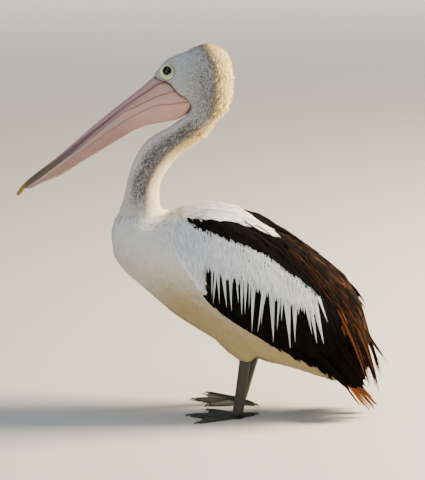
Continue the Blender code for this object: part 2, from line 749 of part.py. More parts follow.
def toe_columns(angle, length, room, hand):
    """Inner edge, ridge and outer edge of a toe: rows of (point, top, underside) from the hub."""
    heading = toe_heading(angle, hand)
    side = Vector((0.0, 0.0, 1.0)).cross(heading) * hand
    columns = ([], [], [])
    for share, swell, height in TOE_ROWS:
        width = min(TOE_RADIUS * swell, 0.8 * length * share * math.tan(math.radians(room) / 2.0))
        along = heading * (length * share)
        edge = height * (0.45 if share < 1.0 else 0.7)
        columns[0].append((along - side * width, edge, 0.0))
        columns[1].append((along, height, 0.0))
        columns[2].append((along + side * width, edge, 0.0))
    return columns


def web_column(angle, reach, hand, under):
    """One line of the skin between two toes, from the hub to its free edge."""
    heading = toe_heading(angle, hand)
    rows = []
    for share, _, height in TOE_ROWS:
        top = under + WEB_THICKNESS + 0.006 * max(0.0, 0.5 - share)
        rows.append((heading * (reach * share), top, under))
    return rows


def foot_columns(hand):
    """Every line of the foot that runs out from the ankle, in order round it."""
    order = ("outer", "middle", "inner", "hind")
    columns = []
    for k, toe in enumerate(order):
        angle, length = TOES[toe]
        following = order[(k + 1) % 4]
        next_angle, next_length = TOES[following]
        gap = (next_angle - angle) % 360.0
        columns += toe_columns(angle, length, 28.0, hand)
        steps = 1 if gap < 50.0 else 4
        for i in range(1, steps + 1):
            share = i / (steps + 1)
            if toe == "hind":
                reach, under = HEEL_RADIUS, 0.0
            else:
                bay = WEB_BAY if gap < 50.0 else WEB_BAY_BEHIND
                reach = (length + (next_length - length) * share) * 0.95
                reach *= 1.0 - bay * math.sin(math.pi * share)
                under = WEB_LIFT
            columns.append(web_column(angle + gap * share, reach, hand, under))
    return columns


def make_foot(name, leg, hand):
    """Four toes joined by webs, flat under the toes where they stand on the floor."""
    hub = Vector((leg["sole"], leg["y"], 0.0))
    shape = bmesh.new()
    top_hub = shape.verts.new(hub + Vector((0.0, 0.0, HUB_HEIGHT)))
    low_hub = shape.verts.new(hub)
    tops, lows = [], []
    for column in foot_columns(hand):
        tops.append([shape.verts.new(hub + p + Vector((0.0, 0.0, top))) for p, top, _ in column])
        lows.append([shape.verts.new(hub + p + Vector((0.0, 0.0, low))) for p, _, low in column])
    count = len(tops)
    for k in range(count):
        nxt = (k + 1) % count
        for grid, middle in ((tops, top_hub), (lows, low_hub)):
            shape.faces.new((middle, grid[k][0], grid[nxt][0]))
            for near, far in zip(range(len(TOE_ROWS) - 1), range(1, len(TOE_ROWS))):
                shape.faces.new((grid[k][near], grid[k][far], grid[nxt][far], grid[nxt][near]))
        shape.faces.new((tops[k][-1], tops[nxt][-1], lows[nxt][-1], lows[k][-1]))
    return place(f"foot_{name}", closed_mesh(f"foot_{name}", shape), "leg")


def make_claw(name, leg, hand, toe):
    """A short curved horn at the end of a toe, its point just over the floor."""
    angle, length = TOES[toe]
    heading = toe_heading(angle, hand)
    hub = Vector((leg["sole"], leg["y"], 0.0))
    side = Vector((0.0, 0.0, 1.0)).cross(heading)
    rings = []
    for share, size, height in CLAW_ROWS:
        centre = hub + heading * (length + CLEARANCE + CLAW_LENGTH * share)
        centre.z = height
        rings.append(ring(centre, side, Vector((0.0, 0.0, 1.0)), size * 0.8, size, size, 8))
    return place(f"claw_{toe}_{name}", loft_mesh(f"claw_{toe}_{name}", rings), "claw")


def make_legs(trunk):
    for name, leg in LEGS.items():
        hand = math.copysign(1.0, leg["y"])
        thigh = make_thigh(name, leg, trunk)
        foot = make_foot(name, leg, hand)
        make_tarsus(name, leg, foot, thigh, trunk)
        for toe in TOES:
            make_claw(name, leg, hand, toe)


# ---------------------------------------------------------------- the bird
def centre_on_origin():
    """Moves the whole bird so that its box stands on the origin, middle over it."""
    graph = bpy.context.evaluated_depsgraph_get()
    corners = []
    for obj in BIRD.objects:
        evaluated = obj.evaluated_get(graph)
        points = np.empty(len(evaluated.data.vertices) * 3, np.float32)
        evaluated.data.vertices.foreach_get("co", points)
        corners.append(points.reshape(-1, 3))
    points = np.concatenate(corners)
    low, high = points.min(0), points.max(0)
    root = bpy.data.objects.new("pelican_origin", None)
    BIRD.objects.link(root)
    for obj in [*BIRD.objects, *TOOLS.objects]:
        if obj is not root:
            obj.parent = root
    root.location = (-(low[0] + high[0]) / 2, -(low[1] + high[1]) / 2, -low[2])


def build():
    trunk = make_trunk()
    neck_upper, neck_middle, neck_lower = make_neck()
    clear_of(neck_lower, trunk)
    make_bill()
    eyes, rings = make_eyes()
    make_head(neck_upper, eyes, rings)
    wings = make_wings(trunk, neck_lower)
    make_tail(trunk, [w for w in wings if w.name.startswith("primaries")])
    make_legs(trunk)
    centre_on_origin()


build()
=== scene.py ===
"""A standing pelican as a life-size museum model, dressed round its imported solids.

Metres, +Z up. The bird faces -X, its left side is -Y and its soles rest on z = 0. The bare skin comes
first, then each tract of feathers from bill to tail, then the bill, the eyes and the legs.
"""

import math

import bmesh
import bpy
import numpy as np
from mathutils import Matrix, Vector
from mathutils.bvhtree import BVHTree


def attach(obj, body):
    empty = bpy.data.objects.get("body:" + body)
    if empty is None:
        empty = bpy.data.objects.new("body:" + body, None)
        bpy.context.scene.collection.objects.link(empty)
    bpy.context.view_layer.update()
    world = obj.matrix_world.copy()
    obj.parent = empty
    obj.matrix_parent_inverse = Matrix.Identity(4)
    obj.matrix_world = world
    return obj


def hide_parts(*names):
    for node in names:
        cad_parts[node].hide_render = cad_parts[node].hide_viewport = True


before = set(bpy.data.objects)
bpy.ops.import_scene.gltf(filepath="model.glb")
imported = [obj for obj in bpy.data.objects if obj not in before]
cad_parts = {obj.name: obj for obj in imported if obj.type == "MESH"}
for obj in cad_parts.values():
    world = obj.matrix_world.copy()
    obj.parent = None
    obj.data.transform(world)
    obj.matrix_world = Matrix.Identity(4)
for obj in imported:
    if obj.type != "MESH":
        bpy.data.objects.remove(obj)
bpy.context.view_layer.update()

# ---------------------------------------------------------------- studio
# A pale seamless floor, a broad warm key from behind the bird's tail, a cool soft fill from the
# viewer's side and a long lens that looks a little down on the bird's left side. Lamps far out on
# all four sides light only the floor, so that it stays pale behind the bird from every angle.
FLOOR_HALF = 40.0
FLOOR_COLOUR = (0.50, 0.49, 0.46, 1.0)
CAMERA_TARGET = Vector((0.0380, 0.0, 0.4272))
CAMERA_TURN = math.radians(7.0)
CAMERA_RISE = math.radians(13.0)
CAMERA_DISTANCE = 5.0
VIEW_HEIGHT = 1.1616  # what the frame takes in at the target
SENSOR_HEIGHT = 36.0
FLOOR_LAMPS = {"far": (0.0, 17.0), "near": (0.0, -17.0), "tail": (17.0, 0.0), "bill": (-17.0, 0.0)}
FLOOR_LAMP_HEIGHT = 9.0
FLOOR_LAMP_SIZE = 20.0
FLOOR_LAMP_ENERGY = 3400.0
FLOOR_LAMP_SPREAD = 96.0  # degrees, narrow enough to leave the bird out


def plain_material(name, colour, roughness):
    finish = bpy.data.materials.new(name)
    finish.use_nodes = True
    shader = finish.node_tree.nodes["Principled BSDF"]
    shader.inputs["Base Color"].default_value = colour
    shader.inputs["Roughness"].default_value = roughness
    return finish


def placed(name, mesh, *finishes):
    """Links a mesh to the scene as an object with these materials."""
    obj = bpy.data.objects.new(name, mesh)
    bpy.context.scene.collection.objects.link(obj)
    for finish in finishes:
        mesh.materials.append(finish)
    return obj


def soft_light(name, place, size, energy, colour, aim=CAMERA_TARGET, spread=180.0):
    """A square soft box that faces the middle of the bird unless it is aimed elsewhere."""
    lamp = bpy.data.lights.new(name, "AREA")
    lamp.size = size
    lamp.energy = energy
    lamp.color = colour
    lamp.spread = math.radians(spread)
    obj = bpy.data.objects.new(name, lamp)
    obj.location = place
    obj.rotation_euler = (Vector(aim) - Vector(place)).to_track_quat("-Z", "Y").to_euler()
    bpy.context.scene.collection.objects.link(obj)


floor_shape = bmesh.new()
bmesh.ops.create_grid(floor_shape, x_segments=1, y_segments=1, size=FLOOR_HALF)
floor_mesh = bpy.data.meshes.new("floor")
floor_shape.to_mesh(floor_mesh)
floor_shape.free()
floor = placed("floor", floor_mesh, plain_material("floor_paint", FLOOR_COLOUR, 0.9))

soft_light("key_light", (4.1, 0.9, 2.1), 1.3, 1550.0, (1.0, 0.84, 0.60))
soft_light("fill_light", (-1.8, -3.2, 2.0), 3.0, 60.0, (0.92, 0.96, 1.0))
soft_light("top_light", (0.2, -0.6, 3.6), 2.4, 52.0, (0.74, 0.87, 1.0))
for side, (x, y) in FLOOR_LAMPS.items():
    soft_light(
        f"floor_light_{side}", (x, y, FLOOR_LAMP_HEIGHT), FLOOR_LAMP_SIZE, FLOOR_LAMP_ENERGY,
        (1.0, 0.98, 0.94), aim=(1.05 * x, 1.05 * y, 0.0), spread=FLOOR_LAMP_SPREAD,
    )

world = bpy.data.worlds.new("studio_air")
world.use_nodes = True
air = world.node_tree.nodes["Background"]
air.inputs["Color"].default_value = (0.80, 0.84, 0.90, 1.0)
air.inputs["Strength"].default_value = 0.31
bpy.context.scene.world = world

camera_back = Vector(
    (
        math.sin(CAMERA_TURN) * math.cos(CAMERA_RISE),
        -math.cos(CAMERA_TURN) * math.cos(CAMERA_RISE),
        math.sin(CAMERA_RISE),
    )
)
lens = bpy.data.cameras.new("camera")
lens.sensor_fit = "VERTICAL"
lens.sensor_height = SENSOR_HEIGHT
lens.lens = SENSOR_HEIGHT * CAMERA_DISTANCE / VIEW_HEIGHT
lens.clip_end = 200.0
camera = bpy.data.objects.new("camera", lens)
camera.location = CAMERA_TARGET + camera_back * CAMERA_DISTANCE
camera.rotation_euler = camera_back.to_track_quat("Z", "Y").to_euler()
bpy.context.scene.collection.objects.link(camera)
bpy.context.scene.camera = camera

# ---------------------------------------------------------------- skin
# The plucked bird: one unbroken hide over head, neck, trunk, thighs and both folded wings. It lies
# inside the coat by the feathers' depth, and carries the same markings as the feathers on it.
FLESH = ["head", "neck_upper", "neck_middle", "neck_lower", "trunk", "thigh_left", "thigh_right"]
FLESH += ["wing_left", "wing_right", "primaries_left", "primaries_right"]
COVERED = FLESH + ["coverts_left", "coverts_right", "tail"]
SKIN_GRAIN = 0.0034  # edge of the cells the joined flesh is rebuilt from
COAT_DEPTH = {"head": 0.0022, "neck": 0.0040, "thigh": 0.0045, "wing": 0.0050, "trunk": 0.0060}

# the line through the middle of the bird from brow to tail, as (x, z)
SPINE = (
    (-0.078, 0.806), (-0.040, 0.822), (-0.004, 0.818), (0.020, 0.792), (0.026, 0.760),
    (0.004, 0.718), (-0.036, 0.684), (-0.066, 0.662), (-0.103, 0.624), (-0.127, 0.574),
    (-0.134, 0.530), (-0.134, 0.470), (-0.118, 0.398), (-0.046, 0.354), (0.083, 0.278),
    (0.212, 0.201), (0.300, 0.150), (0.372, 0.107),
)


def joined_nodes(names):
    """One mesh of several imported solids, and the name of the solid that each face came from."""
    shape = bmesh.new()
    owners = []
    for name in names:
        shape.from_mesh(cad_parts[name].data)
        owners += [name] * (len(shape.faces) - len(owners))
    mesh = bpy.data.meshes.new("joined_flesh")
    shape.to_mesh(mesh)
    shape.free()
    return mesh, np.array(owners)


def rebuilt(name, mesh, grain, smoothing):
    """The mesh rebuilt from even cells as one closed hide, with its corners eased."""
    obj = placed(name, mesh)
    cells = obj.modifiers.new("cells", "REMESH")
    cells.mode = "VOXEL"
    cells.voxel_size = grain
    cells.use_smooth_shade = True
    ease = obj.modifiers.new("ease", "SMOOTH")
    ease.factor = 0.5
    ease.iterations = smoothing
    done = bpy.data.meshes.new_from_object(obj.evaluated_get(bpy.context.evaluated_depsgraph_get()))
    done.materials.clear()
    done.name = name
    bpy.data.objects.remove(obj)
    return done


def corners_of(mesh):
    flat = np.zeros(len(mesh.vertices) * 3, np.float32)
    mesh.vertices.foreach_get("co", flat)
    return flat.reshape(-1, 3).astype(float)


def normals_of(mesh):
    flat = np.zeros(len(mesh.vertices) * 3, np.float32)
    mesh.vertex_normals.foreach_get("vector", flat)
    return flat.reshape(-1, 3).astype(float)


def unit(vectors):
    return vectors / np.maximum(np.linalg.norm(vectors, axis=-1, keepdims=True), 1e-9)


def tree_of(mesh):
    """A search tree over the faces of a mesh."""
    return BVHTree.FromPolygons(
        [v.co for v in mesh.vertices], [tuple(f.vertices) for f in mesh.polygons]
    )


def ramp(values, low, high):
    """0 before low, 1 past high and a soft step between them."""
    share = np.clip((values - low) / (high - low), 0.0, 1.0)
    return share * share * (3.0 - 2.0 * share)


covered_mesh, covered_owner = joined_nodes(COVERED)
covered_tree = tree_of(covered_mesh)


def owner_of(points):
    """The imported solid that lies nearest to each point."""
    return np.array([covered_owner[covered_tree.find_nearest(p)[2]] for p in points])


def spine_place(points):
    """Each point's distance along the spine, height over it towards the back, and turn round it."""
    knots = np.array(SPINE)
    runs = np.diff(knots, axis=0)
    spans = np.linalg.norm(runs, axis=1)
    starts = np.concatenate([[0.0], np.cumsum(spans)])
    flat = points[:, [0, 2]]
    best = np.full(len(points), 1e9)
    along = np.zeros(len(points))
    over = np.zeros(len(points))
    for knot, run, span, start in zip(knots, runs, spans, starts):
        share = np.clip(((flat - knot) @ run) / span**2, 0.0, 1.0)
        gap = flat - (knot + share[:, None] * run)
        far = np.linalg.norm(gap, axis=1)
        nearer = far < best
        best = np.where(nearer, far, best)
        along = np.where(nearer, start + share * span, along)
        backward = (run[0] * gap[:, 1] - run[1] * gap[:, 0]) / span
        over = np.where(nearer, backward, over)
    turn = np.arctan2(np.abs(points[:, 1]), over)
    return along, over, turn


def coat_depth(owner):
    """How thick the feathers lie over each point, by the solid it belongs to."""
    return np.array([COAT_DEPTH[next(k for k in COAT_DEPTH if k in n or k == "trunk")] for n in owner])


# the folded wing's own axis: where it starts at the wrist, and how far it falls towards the tail
WRIST = np.array([-0.0683, 0.4809])
WING_FALL = math.radians(39.55)
# the upper edge of the black on the closed wing and the wing's own lower edge, as (along, up)
BLACK_TOP = (
    (0.028, 0.030), (0.037, 0.041), (0.055, 0.056), (0.071, 0.075), (0.096, 0.093), (0.110, 0.105),
    (0.144, 0.122), (0.190, 0.138), (0.233, 0.145), (0.243, 0.150), (0.250, 0.200), (0.255, 0.400),
)
BLACK_LOW = (
    (0.028, 0.060), (0.034, 0.004), (0.070, -0.031), (0.123, -0.051), (0.189, -0.055),
    (0.211, -0.060), (0.236, -0.062), (0.288, -0.058), (0.345, -0.052), (0.411, -0.044),
    (0.433, -0.039), (0.487, -0.038), (0.517, -0.027), (0.541, -0.023), (0.569, -0.028),
    (0.588, -0.020), (0.640, 0.011),
)
# the front edge of the black, as (up, along)
BLACK_FRONT = (
    (-0.055, 0.185), (-0.035, 0.167), (-0.015, 0.150), (0.005, 0.135), (0.020, 0.120),
    (0.030, 0.030),
)
# above this line the black has faded to brown, as (along, up)
BROWN_EDGE = (
    (0.100, 0.122), (0.145, 0.122), (0.199, 0.131), (0.259, 0.138), (0.339, 0.136), (0.423, 0.128),
    (0.470, 0.098), (0.523, 0.055), (0.613, -0.002),
)
QUILLS_ALONE = 0.560  # past this the wing is all quill, and the flesh under it ends short of the tip
RUMP_OVER = 0.13  # as high as this over the spine the trunk is dark too, between the wings
# where the far wing's black laps over the white back, as (x, y)
FAR_BLACK = (
    (-0.02, 0.105), (0.05, 0.058), (0.09, 0.028), (0.120, 0.008), (0.140, -0.004), (0.154, -0.018),
    (0.168, -0.036), (0.182, -0.046), (0.197, -0.049), (0.213, -0.052), (0.218, -0.300),
)
# where the pale nape begins on the head, as (z, x)
NAPE_EDGE = (
    (0.688, -0.002), (0.703, 0.008), (0.728, 0.032), (0.750, 0.041), (0.778, 0.045),
    (0.812, 0.045), (0.846, 0.042), (0.874, 0.031), (0.888, 0.018), (0.897, 0.004),
    (0.906, -0.010),
)


def wing_place(points):
    """Each point's distance along the folded wing and height over its axis, in side view."""
    gap = points[:, [0, 2]] - WRIST
    along = gap[:, 0] * math.cos(WING_FALL) - gap[:, 1] * math.sin(WING_FALL)
    up = gap[:, 0] * math.sin(WING_FALL) + gap[:, 1] * math.cos(WING_FALL)
    return along, up


def over_black(points):
    """How far inside the white back a point lies, over the near wing's black and short of the far."""
    reach, up = wing_place(points)
    near = up - np.interp(reach, *zip(*BLACK_TOP))
    return np.minimum(near, 0.6 * (np.interp(points[:, 0], *zip(*FAR_BLACK)) - points[:, 1]))


def markings(points, owner):
    """How much slate speckle, cream, black and rust the plumage carries at each point. The cream holds
    painted sunlight on the nape and painted shade under the body.
    """
    along, over, turn = spine_place(points)
    facing = np.cos(turn)  # 1 on the nape and back, 0 on the side, -1 on the throat and belly
    reach, up = wing_place(points)
    on_head = 1.0 - ramp(along, 0.17, 0.21)
    on_neck = 1.0 - on_head
    past_edge = points[:, 0] - np.interp(points[:, 2], *zip(*NAPE_EDGE))
    nape = on_head * ramp(past_edge, -0.010, 0.018) + on_neck * ramp(facing, 0.24, 0.58)
    slate = 1.0 - nape
    slate *= on_head * ramp(points[:, 0], -0.045, 0.040) + on_neck * ramp(facing, -0.95, -0.40)
    slate *= (1.0 - ramp(along, 0.40, 0.50)) * (1.0 - 0.4 * on_head * ramp(facing, 0.5, 0.9))
    # the nape's golden cream is partly its own colour and partly painted sunlight falling from behind
    gold_and_painted_sun = nape * ramp(along, 0.03, 0.09)
    gold_and_painted_sun *= 1.0 - 0.45 * ramp(along, 0.20, 0.36)  # paler down the back of the neck
    gold_and_painted_sun *= 1.0 - ramp(along, 0.43, 0.53)
    # the belly's cream is partly its own colour and partly painted shade, warmed as if lit from the
    # ground; it gets stronger towards the bottom
    belly = ramp(along, 0.46, 0.70) * ramp(-facing, -0.75, 0.35)
    on_wings = np.array(["wing" in n or "primaries" in n for n in owner])
    dark = on_wings | (over > RUMP_OVER) & (owner == "trunk")
    dark &= (over_black(points) < 0.0) & (up > np.interp(reach, *zip(*BLACK_LOW)))
    dark &= reach > np.interp(up, *zip(*BLACK_FRONT))
    over_brown = up - np.interp(reach, *zip(*BROWN_EDGE))
    rust = ramp(reach, 0.04, 0.42) * ramp(over_brown, -0.006, 0.014) * dark
    seam = on_head * np.exp(-(((past_edge - 0.002) / 0.0090) ** 2))
    seam += on_neck * np.exp(-(((facing - 0.38) / 0.16) ** 2))
    # brown where the pale nape starts
    rust += 0.60 * seam * (1.0 - ramp(along, 0.36, 0.48)) * ramp(along, 0.02, 0.07)
    return {"slate": slate, "cream": np.maximum(gold_and_painted_sun, belly), "black": dark.astype(float), "rust": rust}


def add_values(mesh, values):
    """Stores a value for each corner point under each name, for the materials to read."""
    for name, numbers in values.items():
        layer = mesh.attributes.new(name, "FLOAT", "POINT")
        layer.data.foreach_set("value", np.ascontiguousarray(numbers, np.float32).ravel())


def eased(points, mesh, times):
    """The points after being drawn towards their neighbours a few times."""
    edges = np.zeros(len(mesh.edges) * 2, np.int32)
    mesh.edges.foreach_get("vertices", edges)
    a, b = edges.reshape(-1, 2).T
    count = np.bincount(np.concatenate([a, b]), minlength=len(points))[:, None]
    for _ in range(times):
        total = np.zeros_like(points)
        np.add.at(total, a, points[b])
        np.add.at(total, b, points[a])
        points = 0.5 * points + 0.5 * total / count
    return points


flesh_mesh, _ = joined_nodes(FLESH)
skin_mesh = rebuilt("skin", flesh_mesh, SKIN_GRAIN, 12)
outer_points = corners_of(skin_mesh)
skin_owner = owner_of(outer_points)
skin_points = outer_points - normals_of(skin_mesh) * coat_depth(skin_owner)[:, None]
skin_points = eased(skin_points, skin_mesh, 6)
beyond = 0.6 * np.maximum(wing_place(skin_points)[0] - QUILLS_ALONE, 0.0)
skin_points += np.outer(beyond, (-math.cos(WING_FALL), 0.0, math.sin(WING_FALL)))
skin_mesh.vertices.foreach_set("co", skin_points.astype(np.float32).ravel())
skin_mesh.update()
skin_marks = markings(skin_points, skin_owner)
add_values(skin_mesh, skin_marks)
# the hide carries the same painted shade as the roots of the feathers over it
HIDE_SHADE = {"along": 0.25, "tone": 0.4}  # the hide is as dark as the lower part of a middling feather
add_values(skin_mesh, {name: np.full(len(skin_points), number) for name, number in HIDE_SHADE.items()})


def node(tree, kind, place, **settings):
    made = tree.nodes.new(kind)
    made.location = place
    for key, value in settings.items():
        setattr(made, key, value)
    return made


def read_value(tree, name, place):
    """The socket that gives a value stored by add_values."""
    return node(tree, "ShaderNodeAttribute", place, attribute_name=name).outputs["Fac"]


def blend_colours(tree, place, share, low, high):
    """A mix of two colours; each may be a socket or a plain colour."""
    mix = node(tree, "ShaderNodeMix", place, data_type="RGBA")
    for socket, value in ((mix.inputs[0], share), (mix.inputs[6], low), (mix.inputs[7], high)):
        if isinstance(value, bpy.types.NodeSocket):
            tree.links.new(value, socket)
        else:
            socket.default_value = value
    return mix.outputs[2]


def arithmetic(tree, place, operation, first, second):
    """A sum of two sockets or numbers, kept within 0 and 1."""
    sum_node = node(tree, "ShaderNodeMath", place, operation=operation, use_clamp=True)
    for socket, value in zip(sum_node.inputs, (first, second)):
        if isinstance(value, bpy.types.NodeSocket):
            tree.links.new(value, socket)
        else:
            socket.default_value = value
    return sum_node.outputs[0]


def plumage_group():
    """Feather colour: white, cream, slate, black and rust laid over each other by their masks, with
    painted shade at the roots.
    """
    group = bpy.data.node_groups.new("plumage", "ShaderNodeTree")
    for name in ("White", "Cream", "Slate", "Black", "Rust"):
        group.interface.new_socket(name, in_out="INPUT", socket_type="NodeSocketColor")
    for name in ("Painted Root Shade", "Tone Spread", "Fringe"):
        group.interface.new_socket(name, in_out="INPUT", socket_type="NodeSocketFloat")
    group.interface.new_socket("Color", in_out="OUTPUT", socket_type="NodeSocketColor")
    group.interface.new_socket("Barbs", in_out="OUTPUT", socket_type="NodeSocketFloat")
    feed = node(group, "NodeGroupInput", (-900, 0))
    colour = feed.outputs["White"]
    masks = {"Cream": "cream", "Slate": "slate", "Black": "black", "Rust": "rust"}
    across = read_value(group, "across", (-1260, -1200))
    along = read_value(group, "along", (-1260, -980))
    edge = arithmetic(group, (-1100, -1200), "ABSOLUTE", across, 0.0)
    edge = arithmetic(group, (-1100, -1040), "POWER", edge, 1.6)
    tip = arithmetic(group, (-1100, -720), "POWER", along, 3.0)
    edge = arithmetic(group, (-1100, -880), "MAXIMUM", edge, tip)
    centre = arithmetic(group, (-940, -720), "SUBTRACT", 1.0, edge)
    centre = arithmetic(group, (-940, -560), "MULTIPLY", centre, feed.outputs["Fringe"])
    fringed = arithmetic(group, (-940, -400), "SUBTRACT", 1.0, centre)
    for k, (socket, name) in enumerate(masks.items()):
        share = read_value(group, name, (-900, -160 * (k + 1)))
        if name == "rust":
            share = arithmetic(group, (-760, -160 * (k + 1)), "MULTIPLY", share, fringed)
        colour = blend_colours(group, (-640 + 170 * k, 0), share, colour, feed.outputs[socket])
    tone = read_value(group, "tone", (-900, -820))
    dull = arithmetic(group, (-760, -880), "SUBTRACT", 1.0, tone)
    dull = arithmetic(group, (-600, -880), "MULTIPLY", dull, feed.outputs["Tone Spread"])
    lift = arithmetic(group, (-440, -880), "SUBTRACT", 1.0, dull)
    # painted shade: each feather is darkened towards its root, where the feathers over it would shade it
    shade = arithmetic(group, (-600, -1060), "SUBTRACT", 1.0, along)
    shade = arithmetic(group, (-420, -1060), "MULTIPLY", shade, feed.outputs["Painted Root Shade"])
    shade = arithmetic(group, (-240, -1060), "SUBTRACT", 1.0, shade)
    both = arithmetic(group, (-60, -960), "MULTIPLY", lift, shade)
    dim = blend_colours(group, (120, 0), both, (0.0, 0.0, 0.0, 1.0), colour)
    slant = arithmetic(group, (-600, -1240), "MULTIPLY_ADD", across, 9.0)
    slant.node.use_clamp = False
    stretch = arithmetic(group, (-740, -1400), "MULTIPLY", along, 150.0)
    stretch.node.use_clamp = False
    group.links.new(stretch, slant.node.inputs[2])
    wave = arithmetic(group, (-420, -1240), "SINE", slant, 0.0)
    wave.node.use_clamp = False
    out = node(group, "NodeGroupOutput", (320, 0))
    group.links.new(dim, out.inputs["Color"])
    group.links.new(wave, out.inputs["Barbs"])
    return group


PLUMAGE = plumage_group()
WHITE = (0.78, 0.79, 0.79)
CREAM = (0.80, 0.72, 0.56)
SLATE = (0.085, 0.090, 0.105)
BLACK = (0.0070, 0.0062, 0.0060)
RUST = (0.135, 0.052, 0.021)
BARB_DEPTH = 0.0004


def plumage_material(name, roughness, painted_root_shade, relief=0.0, spread=0.25, fringe=0.0, shine=0.3,
                     white=WHITE, cream=CREAM, slate=SLATE, rust=RUST):
    """The finish of one tract: its colours, the painted shade at its roots and how its barbs stand out.

    spread is how much one feather is duller than the next, and fringe keeps the rust to the edges.
    """
    finish = bpy.data.materials.new(name)
    finish.use_nodes = True
    tree = finish.node_tree
    shader = tree.nodes["Principled BSDF"]
    shader.inputs["Roughness"].default_value = roughness
    shader.inputs["Specular IOR Level"].default_value = shine
    paint = node(tree, "ShaderNodeGroup", (-420, 200), node_tree=PLUMAGE)
    tints = {"White": white, "Cream": cream, "Slate": slate, "Black": BLACK, "Rust": rust}
    for socket, colour in tints.items():
        paint.inputs[socket].default_value = (*colour, 1.0)
    paint.inputs["Painted Root Shade"].default_value = painted_root_shade
    paint.inputs["Tone Spread"].default_value = spread
    paint.inputs["Fringe"].default_value = fringe
    tree.links.new(paint.outputs["Color"], shader.inputs["Base Color"])
    if relief:
        bump = node(tree, "ShaderNodeBump", (-220, -200))
        bump.inputs["Strength"].default_value = relief
        bump.inputs["Distance"].default_value = BARB_DEPTH
        tree.links.new(paint.outputs["Barbs"], bump.inputs["Height"])
        tree.links.new(bump.outputs["Normal"], shader.inputs["Normal"])
    return finish


hide_finish = plumage_material("hide", 0.9, 0.3, slate=(0.25, 0.26, 0.29), rust=(0.03, 0.012, 0.006))
skin = placed("skin", skin_mesh, hide_finish)
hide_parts(*FLESH)
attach(skin, "root")

# ---------------------------------------------------------------- down of the head and neck
# Short soft tufts, finest round the eye and bill. On the side of the head and the middle of the neck
# dark slate tufts stand among pale ones; the nape carries a ragged mane of longer bristles.
skin_tree = tree_of(skin_mesh)
skin_normals = normals_of(skin_mesh)
skin_mesh.calc_loop_triangles()
triangles = np.zeros(len(skin_mesh.loop_triangles) * 3, np.int32)
skin_mesh.loop_triangles.foreach_get("vertices", triangles)
triangles = triangles.reshape(-1, 3)
triangle_middle = skin_points[triangles].mean(axis=1)
triangle_area = 0.5 * np.linalg.norm(
    np.cross(
        skin_points[triangles[:, 1]] - skin_points[triangles[:, 0]],
        skin_points[triangles[:, 2]] - skin_points[triangles[:, 0]],
    ),
    axis=1,
)
triangle_owner = skin_owner[triangles[:, 0]]
triangle_along = spine_place(triangle_middle)[0]
triangle_x = triangle_middle[:, 0]
triangle_y = triangle_middle[:, 1]

# how the coat is combed in side view: (x, z, degrees up from straight back)
BODY_LAY = np.array(
    (
        (-0.080, 0.860, 38.0), (-0.020, 0.900, 22.0), (0.030, 0.895, -25.0), (0.075, 0.840, -70.0),
        (0.080, 0.780, -95.0), (0.055, 0.735, -118.0), (-0.060, 0.815, -12.0),
        (-0.010, 0.820, -32.0), (0.020, 0.790, -62.0), (-0.020, 0.760, -80.0),
        (0.010, 0.730, -118.0), (-0.040, 0.690, -145.0), (-0.080, 0.650, -135.0),
        (-0.115, 0.605, -115.0), (-0.132, 0.550, -98.0), (-0.140, 0.480, -88.0),
        (-0.195, 0.440, -82.0), (-0.085, 0.490, -40.0), (-0.205, 0.400, -76.0),
        (-0.170, 0.340, -52.0), (-0.080, 0.270, -40.0), (0.020, 0.200, -34.0),
        (-0.020, 0.300, -48.0), (0.060, 0.190, -70.0), (0.085, 0.170, -72.0),
        (0.150, 0.150, -20.0), (0.260, 0.100, -28.0), (-0.120, 0.440, -62.0),
        (-0.060, 0.420, -60.0), (0.000, 0.510, -8.0), (0.080, 0.500, -22.0), (0.150, 0.450, -36.0),
        (-0.040, 0.480, -12.0), (0.300, 0.300, -55.0), (0.100, 0.240, -40.0),
    )
)


COMB_REACH = 0.040  # how far a combing mark's hold on the coat reaches


def combed(points, lay):
    """Which way the coat lies at each point, blended from the nearest combing marks."""
    gap = ((points[:, None, [0, 2]] - lay[None, :, :2]) ** 2).sum(axis=2)
    weight = np.exp(-(gap - gap.min(axis=1, keepdims=True)) / (2.0 * COMB_REACH**2))
    angle = np.radians(lay[:, 2])
    return unit(
        np.stack([weight @ np.cos(angle), np.zeros(len(points)), weight @ np.sin(angle)], axis=1)
    )


TRIES_ON_SKIN = 5.0  # random places for each cell of the spacing, of which one is kept
TRIES_ON_PANEL = 3.0


def sown(chosen, spacing, seed):
    """Feather roots spread evenly over the chosen triangles of the skin, with the skin's normals."""
    dice = np.random.default_rng(seed)
    area = np.where(chosen, triangle_area, 0.0)
    count = int(TRIES_ON_SKIN * area.sum() / spacing**2)
    pick = dice.choice(len(area), count, p=area / area.sum())
    a = dice.random((count, 1))
    b = dice.random((count, 1))
    a, b = np.where(a + b > 1.0, 1.0 - a, a), np.where(a + b > 1.0, 1.0 - b, b)
    corner = skin_points[triangles[pick]]
    tilt = skin_normals[triangles[pick]]
    points = corner[:, 0] * (1 - a - b) + corner[:, 1] * a + corner[:, 2] * b
    normals = unit(tilt[:, 0] * (1 - a - b) + tilt[:, 1] * a + tilt[:, 2] * b)
    _, first = np.unique(np.floor(points / spacing).astype(int), axis=0, return_index=True)
    first.sort()
    return points[first], normals[first]


def unwrapped(points):
    """A place in the unit square for each root: round the body across, along the body upwards."""
    along, _, turn = spine_place(points)
    low, high = turn.min(), turn.max()
    first, last = along.min(), along.max()
    half = 0.01 + 0.475 * (turn - low) / max(high - low, 1e-6)
    across = np.where(points[:, 1] < 0.0, 0.5 - half, 0.5 + half)
    return np.stack([across, 0.01 + 0.975 * (along - first) / max(last - first, 1e-6)], axis=1)


PATCH_SIZE = 0.003  # across each vane's own patch of the unwrap


